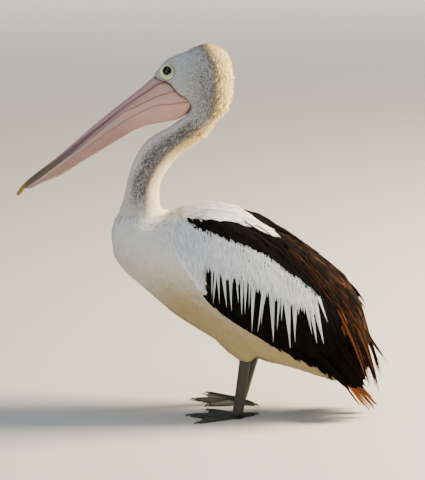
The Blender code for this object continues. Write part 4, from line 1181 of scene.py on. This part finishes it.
# ---------------------------------------------------------------- tail
# Twelve stiff, worn quills in a slightly arched fan, dark along the shaft and bleached to rust at
# the edges and ragged ends, with short coverts over their roots.
TAIL_ROOT = np.array((0.305, 0.0, 0.168))
TAIL_FALL = math.radians(47.4)
TAIL_LENGTH = 0.204
TAIL_TURN = math.radians(18.8)  # from the middle quill to the outermost
TAIL_QUILLS = 12
TAIL_LAYERS = ((1.0, 0.021), (0.62, 0.019), (0.42, 0.017))  # share of the full length, width in metres
QUILL_ROWS = (
    (0.0, 0.45), (0.12, 0.72), (0.30, 0.92), (0.50, 1.0), (0.68, 0.98), (0.80, 0.90), (0.90, 0.72),
    (0.96, 0.50), (1.0, 0.22),
)
tail_finish = plumage_material(
    "tail_quills", 0.85, 0.55, relief=0.7, spread=0.3, fringe=0.85, shine=0.0, rust=(0.160, 0.045, 0.008)
)
tail_down = np.array((math.cos(TAIL_FALL), 0.0, -math.sin(TAIL_FALL)))
tail_up = np.array((math.sin(TAIL_FALL), 0.0, math.cos(TAIL_FALL)))
dice = np.random.default_rng(71)
tail_grid, tail_tilt, tail_rust = [], [], []
for k in range(TAIL_QUILLS * len(TAIL_LAYERS)):
    across = -1.0 + 2.0 * (k % TAIL_QUILLS + 0.5) / TAIL_QUILLS + dice.uniform(-0.04, 0.04)
    layer = k // TAIL_QUILLS  # the full-length quills, then shorter and shorter coverts over them
    reach, width = TAIL_LAYERS[layer]
    turn = TAIL_TURN * across + math.radians(dice.normal(0.0, 1.2))
    ahead = tail_down * math.cos(turn) + np.array((0.0, math.sin(turn), 0.0))
    length = TAIL_LENGTH * (1.0 - 0.22 * across**2) * reach * dice.uniform(0.94, 1.02)
    lift = 0.0012 + 0.0030 * layer - 0.0022 * abs(across) + 0.0008 * (k % 2)
    root = TAIL_ROOT + np.array((0.0, 0.020 * across, 0.0)) + tail_up * lift
    side = np.cross(tail_up, ahead)
    rows = []
    for share, wide in QUILL_ROWS:
        middle = root + ahead * (length * share) - tail_up * (0.010 * across**2 * share**0.7)
        ragged = 0.10 * dice.normal() * share**3
        line = []
        for a in (-1.0, -0.5, 0.0, 0.5, 1.0):
            aside = side * (0.5 * width * wide * (a + ragged))
            line.append(middle + aside - tail_up * (0.0016 * abs(a)))
        rows.append(line)
    tail_grid.append(rows)
    tail_tilt.append(tail_up)
    tail_rust.append(dice.uniform(0.35, 0.90))
tail_grid = np.array(tail_grid)
tail_roots = tail_grid[:, 0, 2]
tail_values = {
    "slate": 0.0, "cream": 0.0, "black": 1.0, "rust": np.array(tail_rust),
    "tone": dice.random(len(tail_rust)),
}
tail_mesh = feather_mesh(
    "tail_quills", tail_grid, np.array(tail_tilt), 0.3, tail_values, unwrapped(tail_roots)
)
tail = placed("tail_quills", tail_mesh, tail_finish)
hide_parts("tail")
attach(tail, "root")

# ---------------------------------------------------------------- bill
# A long horn upper mandible with a rounded ridge, a groove down each side and a hooked nail, closed
# on two thin lower rami. Bare pink skin hangs between the rami as the throat pouch.
BILL_ROOT = np.array((-0.0656, 0.0, 0.7675))
BILL_TIP = np.array((-0.4431, 0.0, 0.5412))
TO_TIP = (BILL_TIP - BILL_ROOT) / np.linalg.norm(BILL_TIP - BILL_ROOT)
BILL_UP = np.array((TO_TIP[2], 0.0, -TO_TIP[0]))
BILL_SHAPE = np.array(  # towards the tip, ridge, floor of the pouch, half width
    (
        (-0.052, 0.040, -0.030, 0.020), (-0.030, 0.062, -0.0480, 0.029),
        (0.000, 0.0685, -0.0515, 0.0325), (0.020, 0.0640, -0.0455, 0.0325),
        (0.045, 0.0595, -0.0365, 0.0315), (0.078, 0.0550, -0.0245, 0.0295),
        (0.108, 0.0515, -0.0200, 0.0280), (0.155, 0.0446, -0.0212, 0.0262),
        (0.202, 0.0373, -0.0221, 0.0245), (0.250, 0.0281, -0.0225, 0.0230),
        (0.301, 0.0188, -0.0252, 0.0220), (0.330, 0.0150, -0.0250, 0.0215),
        (0.362, 0.0113, -0.0200, 0.0205), (0.394, 0.0071, -0.0155, 0.0175),
        (0.420, 0.0018, -0.0115, 0.0115), (0.436, -0.0025, -0.0112, 0.0060),
        (0.4455, -0.0115, -0.0125, 0.0020),
    )
)
GROOVE = np.array(  # this table and the next three hold rows of (towards the tip, above the axis)
    (
        (-0.040, 0.0330), (-0.0191, 0.0415), (-0.0056, 0.0475), (0.0021, 0.0490), (0.0244, 0.0450),
        (0.0531, 0.0447), (0.0828, 0.0423), (0.1129, 0.0398), (0.1599, 0.0331), (0.2060, 0.0283),
        (0.2532, 0.0216), (0.2997, 0.0150), (0.3463, 0.0095), (0.3772, 0.0070), (0.4100, 0.0030),
        (0.450, -0.0060),
    )
)
MOUTH = np.array(
    (
        (-0.080, -0.010), (-0.0272, 0.0151), (-0.0054, 0.0208), (0.0200, 0.0255), (0.0609, 0.0279),
        (0.0931, 0.0310), (0.1139, 0.0330), (0.1780, 0.0232), (0.2426, 0.0120), (0.3050, 0.0049),
        (0.3681, -0.0024), (0.3983, -0.0045), (0.4180, -0.0075), (0.4280, -0.0130),
        (0.4380, -0.0165), (0.450, -0.0175),
    )
)
FOLD = np.array(
    (
        (-0.080, -0.040), (-0.0397, -0.0248), (-0.0240, -0.0185), (-0.0059, -0.0111),
        (0.0187, 0.0030), (0.0441, 0.0089), (0.0709, 0.0115), (0.1139, 0.0120), (0.1780, 0.0080),
        (0.2426, 0.0010), (0.3050, -0.0060), (0.3681, -0.0125), (0.450, -0.0200),
    )
)
# where the feathers of the face stop, from beside the ridge down to the throat
FACE = (
    (0.0024, 0.0680), (-0.0026, 0.0589), (-0.0083, 0.0525), (-0.0201, 0.0426), (-0.0255, 0.0320),
    (-0.0272, 0.0203), (-0.0289, 0.0087), (-0.0337, -0.0022), (-0.0412, -0.0132),
    (-0.0443, -0.0219), (-0.0435, -0.0325), (-0.0383, -0.0407), (-0.0288, -0.0467),
    (-0.0153, -0.0505), (-0.0020, -0.0535), (0.0200, -0.0478),
)
BILL_STEPS = 150


def smoothed_line(table, at):
    """A value along the bill from its table, eased so that no corner of the table shows."""
    spread = np.linspace(-0.012, 0.012, 9)
    return np.mean([np.interp(at + s, table[:, 0], table[:, 1]) for s in spread], axis=0)


bill_at = np.linspace(-0.050, 0.4455, BILL_STEPS)
ridge = smoothed_line(BILL_SHAPE[:, [0, 1]], bill_at)
pouch_floor = smoothed_line(BILL_SHAPE[:, [0, 2]], bill_at)
half_width = smoothed_line(BILL_SHAPE[:, [0, 3]], bill_at)
groove = np.minimum(smoothed_line(GROOVE, bill_at), ridge - 0.002)
mouth = np.minimum(smoothed_line(MOUTH, bill_at), groove - 0.001)
LOWER_END = 0.4300  # the lower half stops here, tucked in behind the hook of the nail
closing = ramp(bill_at, 0.395, LOWER_END)
lower_top = np.interp(bill_at, *MOUTH[:12].T)  # the mouth without the hook of the nail
fold = np.minimum(smoothed_line(FOLD, bill_at), mouth - 0.002)
fold = fold + (lower_top - 0.0022 - fold) * closing
pouch_floor = np.minimum(pouch_floor, fold - 0.002)
pouch_floor = pouch_floor + (fold - 0.0006 - pouch_floor) * closing
lower_steps = int((bill_at < LOWER_END).sum())


def by_bill(at, across, above):
    """Corner points from their place along the bill, across it and above its axis."""
    middle = BILL_ROOT + TO_TIP * at[..., None] + BILL_UP * above[..., None]
    return middle + np.array((0.0, 1.0, 0.0)) * across[..., None]


def lofted(name, across, above, masks, finish, nodes):
    """A closed piece of bill from rows of section points; both ends are filled."""
    steps, sides = across.shape
    at = np.repeat(bill_at[:steps, None], sides, axis=1)
    points = by_bill(at, across, above).reshape(-1, 3)
    index = np.arange(steps * sides).reshape(steps, sides)
    nxt = np.roll(index, -1, axis=1)
    faces = np.stack([index[:-1], index[1:], nxt[1:], nxt[:-1]], axis=-1).reshape(-1, 4).tolist()
    faces += [index[0].tolist(), index[-1][::-1].tolist()]
    mesh = bpy.data.meshes.new(name)
    mesh.from_pydata(points, [], faces)
    add_values(mesh, {key: np.broadcast_to(numbers, (steps, sides)) for key, numbers in masks.items()})
    shape = bmesh.new()
    shape.from_mesh(mesh)
    bmesh.ops.recalc_face_normals(shape, faces=shape.faces)
    shape.to_mesh(mesh)
    shape.free()
    mesh.shade_smooth()
    piece = placed(name, mesh, finish)
    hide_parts(*nodes)
    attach(piece, "root")


def horn_group():
    """Horn and bare skin: a base colour with soft mottling, thin growth lines and a fine relief."""
    group = bpy.data.node_groups.new("horn", "ShaderNodeTree")
    group.interface.new_socket("Color", in_out="INPUT", socket_type="NodeSocketColor")
    group.interface.new_socket("Mottle Color", in_out="INPUT", socket_type="NodeSocketColor")
    group.interface.new_socket("Mottle", in_out="INPUT", socket_type="NodeSocketFloat")
    group.interface.new_socket("Scale", in_out="INPUT", socket_type="NodeSocketFloat")
    group.interface.new_socket("Color", in_out="OUTPUT", socket_type="NodeSocketColor")
    group.interface.new_socket("Relief", in_out="OUTPUT", socket_type="NodeSocketFloat")
    feed = node(group, "NodeGroupInput", (-900, 0))
    place = node(group, "ShaderNodeTexCoord", (-900, -260))
    turned = node(group, "ShaderNodeMapping", (-700, -260))
    turned.inputs["Rotation"].default_value = (0.0, -math.atan2(TO_TIP[2], TO_TIP[0]), 0.0)
    group.links.new(place.outputs["Object"], turned.inputs["Vector"])
    drawn = node(group, "ShaderNodeMapping", (-520, -260))
    drawn.inputs["Scale"].default_value = (0.12, 1.0, 1.0)
    group.links.new(turned.outputs["Vector"], drawn.inputs["Vector"])
    cloud = node(group, "ShaderNodeTexNoise", (-340, -120))
    cloud.inputs["Detail"].default_value = 5.0
    group.links.new(place.outputs["Object"], cloud.inputs["Vector"])
    group.links.new(feed.outputs["Scale"], cloud.inputs["Scale"])
    lines = node(group, "ShaderNodeTexNoise", (-340, -380))
    lines.inputs["Detail"].default_value = 6.0
    lines.inputs["Scale"].default_value = 520.0
    group.links.new(drawn.outputs["Vector"], lines.inputs["Vector"])
    share = arithmetic(group, (-140, -120), "SUBTRACT", cloud.outputs["Fac"], 0.36)
    share = arithmetic(group, (20, -120), "MULTIPLY", share, 3.2)
    share = arithmetic(group, (180, -120), "MULTIPLY", share, feed.outputs["Mottle"])
    mixed = blend_colours(group, (340, 60), share, feed.outputs["Color"], feed.outputs["Mottle Color"])
    out = node(group, "NodeGroupOutput", (540, 0))
    group.links.new(mixed, out.inputs["Color"])
    group.links.new(lines.outputs["Fac"], out.inputs["Relief"])
    return group


HORN = horn_group()
MOTTLE_SHARE = 0.5


def horn_material(name, base, mottle, roughness, layers, relief, relief_depth, scale=60.0):
    """Horn or bare skin; layers are (mask name, colour) laid over the mottled base in turn."""
    finish = bpy.data.materials.new(name)
    finish.use_nodes = True
    tree = finish.node_tree
    shader = tree.nodes["Principled BSDF"]
    shader.inputs["Roughness"].default_value = roughness
    horn = node(tree, "ShaderNodeGroup", (-900, 100), node_tree=HORN)
    horn.inputs["Color"].default_value = (*base, 1.0)
    horn.inputs["Mottle Color"].default_value = (*mottle, 1.0)
    horn.inputs["Mottle"].default_value = MOTTLE_SHARE
    horn.inputs["Scale"].default_value = scale
    colour = horn.outputs["Color"]
    for k, (mask, tint) in enumerate(layers):
        share = read_value(tree, mask, (-900, -200 - 160 * k))
        colour = blend_colours(tree, (-640 + 180 * k, 0), share, colour, (*tint, 1.0))
    tree.links.new(colour, shader.inputs["Base Color"])
    bump = node(tree, "ShaderNodeBump", (-220, -300))
    bump.inputs["Strength"].default_value = relief
    bump.inputs["Distance"].default_value = relief_depth
    tree.links.new(horn.outputs["Relief"], bump.inputs["Height"])
    tree.links.new(bump.outputs["Normal"], shader.inputs["Normal"])
    return finish


def hill(values, centre, width):
    """1 at the centre, fading to both sides."""
    return np.exp(-(((values - centre) / width) ** 2))


def gape_line(above):
    """1 on the dark rim of bare skin along the face's feathers, fading over about two millimetres."""
    at = np.broadcast_to(bill_at[: len(above), None], above.shape)
    gap = np.full(above.shape, 1.0)
    for (a0, n0), (a1, n1) in zip(FACE, FACE[1:]):
        run = np.array((a1 - a0, n1 - n0))
        share = np.clip(((at - a0) * run[0] + (above - n0) * run[1]) / (run @ run), 0.0, 1.0)
        gap = np.minimum(gap, np.hypot(at - a0 - share * run[0], above - n0 - share * run[1]))
    return 1.0 - ramp(gap, 0.0012, 0.0034)


# the upper mandible: round the section from the ridge down the left side, under and up the right
sweep = np.linspace(0.0, 1.0, 26)
half = np.zeros((BILL_STEPS, len(sweep), 2))
knots = (0.0, 0.12, 0.26, 0.38, 0.44, 0.50, 0.64, 0.84, 0.92, 1.0)
for k in range(BILL_STEPS):
    w, top, cut, low = half_width[k], ridge[k], groove[k], mouth[k]
    wide = (0.0, 0.20 * w, 0.37 * w, 0.50 * w, 0.53 * w, 0.60 * w, 0.80 * w, 0.985 * w, 0.955 * w, 0.0)
    tall = (
        top, top - 0.05 * (top - cut), top - 0.32 * (top - cut), top - 0.80 * (top - cut), cut,
        cut - 0.10 * (cut - low), cut - 0.50 * (cut - low), low + 0.0012, low, low + 0.0010,
    )
    half[k, :, 0] = np.interp(sweep, knots, wide)
    half[k, :, 1] = np.interp(sweep, knots, tall)
across = np.concatenate([-half[:, :, 0], half[:, ::-1, 0][:, 1:-1]], axis=1)
above = np.concatenate([half[:, :, 1], half[:, ::-1, 1][:, 1:-1]], axis=1)
round_at = np.concatenate([sweep, sweep[::-1][1:-1]])[None]
near_root = 1.0 - ramp(bill_at, 0.05, 0.16)[:, None]
near_tip = ramp(bill_at, 0.375, 0.41)[:, None]
deepening = ramp(bill_at, 0.14, 0.34)[:, None]
olive_tip = ramp(bill_at, 0.30, 0.40)[:, None]
turning_olive = ramp(bill_at, 0.22, 0.40)[:, None]
past_stripe = ramp(round_at, 0.62 + 0.30 * deepening, 0.80 + 0.16 * deepening)
stripe = ramp(round_at, 0.45, 0.51) * (1.0 - past_stripe)
groove_line = hill(round_at, 0.44, 0.050) * (1.0 - 0.5 * near_tip)
upper_masks = {
    "groove": groove_line * ramp(bill_at, -0.06, -0.03)[:, None],
    "culmen": (1.0 - ramp(round_at, 0.34, 0.42)) * np.ones_like(near_tip),
    "stripe": stripe * (1.0 - near_root),
    "olive": ramp(round_at, 0.40 - 0.5 * olive_tip, 0.50 - 0.5 * olive_tip) * turning_olive,
    "lip": hill(round_at, 0.88, 0.035) * 0.7 * near_root,
    "nail": ramp(bill_at, 0.400, 0.428)[:, None] * np.ones_like(round_at),
    "rim": gape_line(above),
}
RIM_TINT = (0.11, 0.040, 0.045)
UPPER_LAYERS = (
    ("stripe", (0.140, 0.085, 0.104)), ("culmen", (0.33, 0.20, 0.21)), ("groove", (0.105, 0.012, 0.024)),
    ("olive", (0.105, 0.080, 0.034)), ("lip", (0.30, 0.20, 0.15)), ("nail", (0.29, 0.175, 0.032)),
    ("rim", RIM_TINT),
)
upper_finish = horn_material(
    "upper_mandible", (0.46, 0.27, 0.225), (0.39, 0.225, 0.205), 0.42, UPPER_LAYERS, 0.35, 0.0006
)
lofted("bill_upper_horn", across, above, upper_masks, upper_finish, ("bill_upper", "bill_nail"))

# the lower rami: two thin straps joined under the tip
sweep = np.linspace(0.0, 1.0, 14)
across_rows, above_rows = [], []
knots = (0.0, 0.30, 0.62, 0.85, 1.0)
for k in range(lower_steps):
    w = half_width[k] * (1.0 - 0.75 * closing[k])
    low, under = lower_top[k] - 0.0008, fold[k]
    wide = np.interp(sweep, knots, (0.0, 0.90 * w, 0.965 * w, 0.95 * w, 0.0))
    tall = np.interp(sweep, knots, (low, low, 0.5 * (low + under), under, under + 0.0004))
    across_rows.append(np.concatenate([-wide, wide[::-1][1:-1]]))
    above_rows.append(np.concatenate([tall, tall[::-1][1:-1]]))
round_at = np.concatenate([sweep, sweep[::-1][1:-1]])[None]
near_root = near_root[:lower_steps]
past_root = 1.0 - near_root
lower_masks = {
    "lilac": (1.0 - ramp(round_at, 0.36, 0.58)) * past_root,
    "pinker": ramp(round_at, 0.60, 0.90) * past_root,
    "root": near_root * np.ones_like(round_at),
    "fold": hill(round_at, 0.84, 0.045) * near_root,
    "rim": gape_line(np.array(above_rows)),
}
AHEAD_TINT = (0.34, 0.195, 0.172)  # rami and pouch alike, once past the root of the bill
LOWER_LAYERS = (
    ("lilac", (0.27, 0.205, 0.215)), ("pinker", AHEAD_TINT), ("root", (0.49, 0.285, 0.24)),
    ("fold", (0.26, 0.09, 0.09)), ("rim", RIM_TINT),
)
lower_finish = horn_material(
    "lower_mandible", (0.36, 0.27, 0.21), (0.38, 0.25, 0.215), 0.45, LOWER_LAYERS, 0.3, 0.0005
)
lofted(
    "bill_lower_rami", np.array(across_rows), np.array(above_rows), lower_masks, lower_finish,
    ("bill_lower",),
)

# the pouch: bare skin with slack folds that run along it
sweep = np.linspace(0.0, 1.0, 22)
across_rows, above_rows = [], []
for k in range(lower_steps):
    w = half_width[k] * 0.95 * (1.0 - 0.75 * closing[k])
    high, low = fold[k] - 0.0002, pouch_floor[k]
    angle = sweep * math.pi / 2
    crease = 0.0007 * np.sin(sweep * 21.0 + 9.0 * bill_at[k]) * np.sin(sweep * math.pi)
    wide = (w * np.cos(angle) ** 0.75) + crease
    tall = high - (high - low) * np.sin(angle) ** 1.15 + crease
    wide[-1] = 0.0
    across_rows.append(np.concatenate([[0.0], -wide, wide[::-1][1:]]))
    above_rows.append(np.concatenate([[high], tall, tall[::-1][1:]]))
round_at = np.concatenate([[0.0], sweep, sweep[::-1][1:]])[None]
pouch_masks = {
    "deep": ramp(round_at, 0.55, 1.0) * near_root,
    "ahead": past_root * np.ones_like(round_at),
    "rim": gape_line(np.array(above_rows)),
}
POUCH_LAYERS = (("deep", (0.52, 0.31, 0.25)), ("ahead", AHEAD_TINT), ("rim", RIM_TINT))
pouch_finish = horn_material(
    "pouch_skin", (0.50, 0.285, 0.25), (0.43, 0.245, 0.23), 0.5, POUCH_LAYERS, 0.5, 0.0008, scale=40.0
)
lofted(
    "throat_pouch", np.array(across_rows), np.array(above_rows), pouch_masks, pouch_finish,
    ("pouch",),
)

# ---------------------------------------------------------------- eyes
# A glossy near-black ball set in a flat oval ring of bare pale yellow-green skin, which is drawn
# with a thin dark line at its rim and another close round the ball.
EYE_RADIUS = 0.0135
EYE_HOLE = (0.0086, 0.0096)  # half its length and half its height
EYE_LIFT = 0.0026  # the opening sits a little above and ahead of the middle of its ring
EYE_FORWARD = 0.0014
EYE_SUNK = 0.0078  # the ball's middle lies this far behind the skin
RING_LIFT = 0.0012  # the ring stands this far over the face's skin
eye_finish = plain_material("eyeball", (0.003, 0.002, 0.002, 1.0), 0.06)
eye_finish.node_tree.nodes["Principled BSDF"].inputs["Specular IOR Level"].default_value = 0.35
ring_finish = horn_material(
    "eye_skin", (0.53, 0.56, 0.31), (0.62, 0.62, 0.42), 0.45, (("rim", (0.055, 0.060, 0.050)),),
    0.4, 0.0003, scale=220.0,
)
# rows of the ring from its hole outwards: share of its breadth, height over its skin, how dark
RING_ROWS = (
    (0.0, -0.0040, 1.0), (0.0, 0.0004, 1.0), (0.07, 0.0012, 0.6), (0.16, 0.0014, 0.0),
    (0.32, 0.0010, 0.0), (0.50, 0.0006, 0.0), (0.68, 0.0004, 0.0), (0.84, 0.0003, 0.0),
    (0.92, 0.0002, 0.8), (1.0, -0.0004, 1.0), (1.04, -0.0030, 1.0),
)
RING_SIDES = 64
for side_name, hand in SIDES:
    places, heights, rims = [], [], []
    for reach, height, rim in RING_ROWS:
        for k in range(RING_SIDES):
            angle = 2.0 * math.pi * k / RING_SIDES
            long_half = EYE_HOLE[0] + (RING_HALF[0] - EYE_HOLE[0]) * reach
            high_half = EYE_HOLE[1] + (RING_HALF[1] - EYE_HOLE[1]) * reach
            ahead = math.cos(angle) * long_half - EYE_FORWARD * (1.0 - reach)
            above = math.sin(angle) * high_half + EYE_LIFT * (1.0 - reach)
            places.append((ahead, above))
            heights.append(height)
            rims.append(rim)
    places = np.array(places) + EYE_PLACE
    depth, _ = cast_on(places, hand, np.zeros(len(places)))
    found = depth != 0.0
    level = np.stack([np.ones(len(places)), *places.T], axis=1)
    plane = np.linalg.lstsq(level[found], depth[found], rcond=None)[0]
    depth = np.where(found, depth, level @ plane)
    outward = unit(hand * np.array((-plane[1], 1.0, -plane[2])))
    points = np.stack([places[:, 0], depth, places[:, 1]], axis=1)
    points += outward * (np.array(heights) + RING_LIFT)[:, None]
    opening = np.array((1.0, EYE_PLACE[0] - EYE_FORWARD, EYE_PLACE[1] + EYE_LIFT))
    centre = np.array((opening[1], depth[: 4 * RING_SIDES].mean(), opening[2])) - outward * EYE_SUNK
    ball_shape = bmesh.new()
    bmesh.ops.create_icosphere(ball_shape, subdivisions=5, radius=EYE_RADIUS)
    ball_shape.transform(Matrix.Translation(Vector(centre)))
    ball_mesh = bpy.data.meshes.new(f"eyeball_{side_name}")
    ball_shape.to_mesh(ball_mesh)
    ball_shape.free()
    ball_mesh.shade_smooth()
    eyeball = placed(f"eyeball_{side_name}", ball_mesh, eye_finish)
    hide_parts(f"eye_{side_name}")
    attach(eyeball, "root")
    index = np.arange(len(points)).reshape(-1, RING_SIDES)
    nxt = np.roll(index, -1, axis=1)
    faces = np.stack([index[:-1], nxt[:-1], nxt[1:], index[1:]], axis=-1).reshape(-1, 4)
    ring_mesh = bpy.data.meshes.new(f"eye_skin_{side_name}")
    ring_mesh.from_pydata(points, [], faces if hand > 0 else faces[:, ::-1])
    add_values(ring_mesh, {"rim": np.array(rims)})
    ring_mesh.shade_smooth()
    eye_skin = placed(f"eye_skin_{side_name}", ring_mesh, ring_finish)
    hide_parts(f"eye_ring_{side_name}")
    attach(eye_skin, "root")

# ---------------------------------------------------------------- legs
# Bare slate-grey shanks and feet with all four toes webbed, covered in small leathery scales, and a
# short curved claw on each toe.
LEG_GRAIN = 0.0011  # edge of the cells the shank and foot are rebuilt from
SHANK_RISE = 0.022  # how far the shank runs up inside the feathered thigh


def scaly_material():
    """Dark skin parted into small scales, with the seams between them darker and sunk."""
    finish = bpy.data.materials.new("leg_skin")
    finish.use_nodes = True
    tree = finish.node_tree
    shader = tree.nodes["Principled BSDF"]
    shader.inputs["Roughness"].default_value = 0.55
    place = node(tree, "ShaderNodeTexCoord", (-1100, 0))
    cells = node(tree, "ShaderNodeTexVoronoi", (-860, 120), feature="DISTANCE_TO_EDGE")
    cells.inputs["Scale"].default_value = 330.0
    cloud = node(tree, "ShaderNodeTexNoise", (-860, -180))
    cloud.inputs["Scale"].default_value = 38.0
    cloud.inputs["Detail"].default_value = 6.0
    tree.links.new(place.outputs["Object"], cells.inputs["Vector"])
    tree.links.new(place.outputs["Object"], cloud.inputs["Vector"])
    seam = arithmetic(tree, (-640, 120), "MULTIPLY", cells.outputs["Distance"], 6.0)
    dark = (0.018, 0.020, 0.015, 1.0)
    base = blend_colours(tree, (-420, -80), cloud.outputs["Fac"], dark, (0.045, 0.044, 0.030, 1.0))
    colour = blend_colours(tree, (-220, 40), seam, (0.014, 0.015, 0.012, 1.0), base)
    tree.links.new(colour, shader.inputs["Base Color"])
    bump = node(tree, "ShaderNodeBump", (-220, -260))
    bump.inputs["Strength"].default_value = 0.6
    bump.inputs["Distance"].default_value = 0.0006
    tree.links.new(seam, bump.inputs["Height"])
    tree.links.new(bump.outputs["Normal"], shader.inputs["Normal"])
    return finish


leg_finish = scaly_material()
claw_finish = horn_material(
    "claw_horn", (0.045, 0.042, 0.042), (0.16, 0.14, 0.12), 0.35, (), 0.3, 0.0003, scale=150.0
)
for side_name, _ in SIDES:
    leg_mesh, _ = joined_nodes([f"tarsus_{side_name}", f"foot_{side_name}"])
    leg_mesh = rebuilt(f"leg_{side_name}", leg_mesh, LEG_GRAIN, 8)
    leg_points = corners_of(leg_mesh)
    top = leg_points[:, 2].max()
    leg_points[:, 2] += SHANK_RISE * ramp(leg_points[:, 2], top - 0.004, top - 0.001)
    leg_mesh.vertices.foreach_set("co", leg_points.astype(np.float32).ravel())
    leg_mesh.update()
    leg = placed(f"leg_{side_name}", leg_mesh, leg_finish)
    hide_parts(f"tarsus_{side_name}", f"foot_{side_name}")
    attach(leg, "root")
    for toe in ("outer", "middle", "inner", "hind"):
        shape = bmesh.new()
        shape.from_mesh(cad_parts[f"claw_{toe}_{side_name}"].data)
        bmesh.ops.remove_doubles(shape, verts=shape.verts, dist=0.00002)
        claw_mesh = bpy.data.meshes.new(f"claw_{toe}_{side_name}_horn")
        shape.to_mesh(claw_mesh)
        shape.free()
        claw = placed(f"claw_{toe}_{side_name}_horn", claw_mesh, claw_finish)
        round_off = claw.modifiers.new("round_off", "SUBSURF")
        round_off.levels = 2
        round_off.render_levels = 2
        claw_mesh.shade_smooth()
        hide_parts(f"claw_{toe}_{side_name}")
        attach(claw, "root")
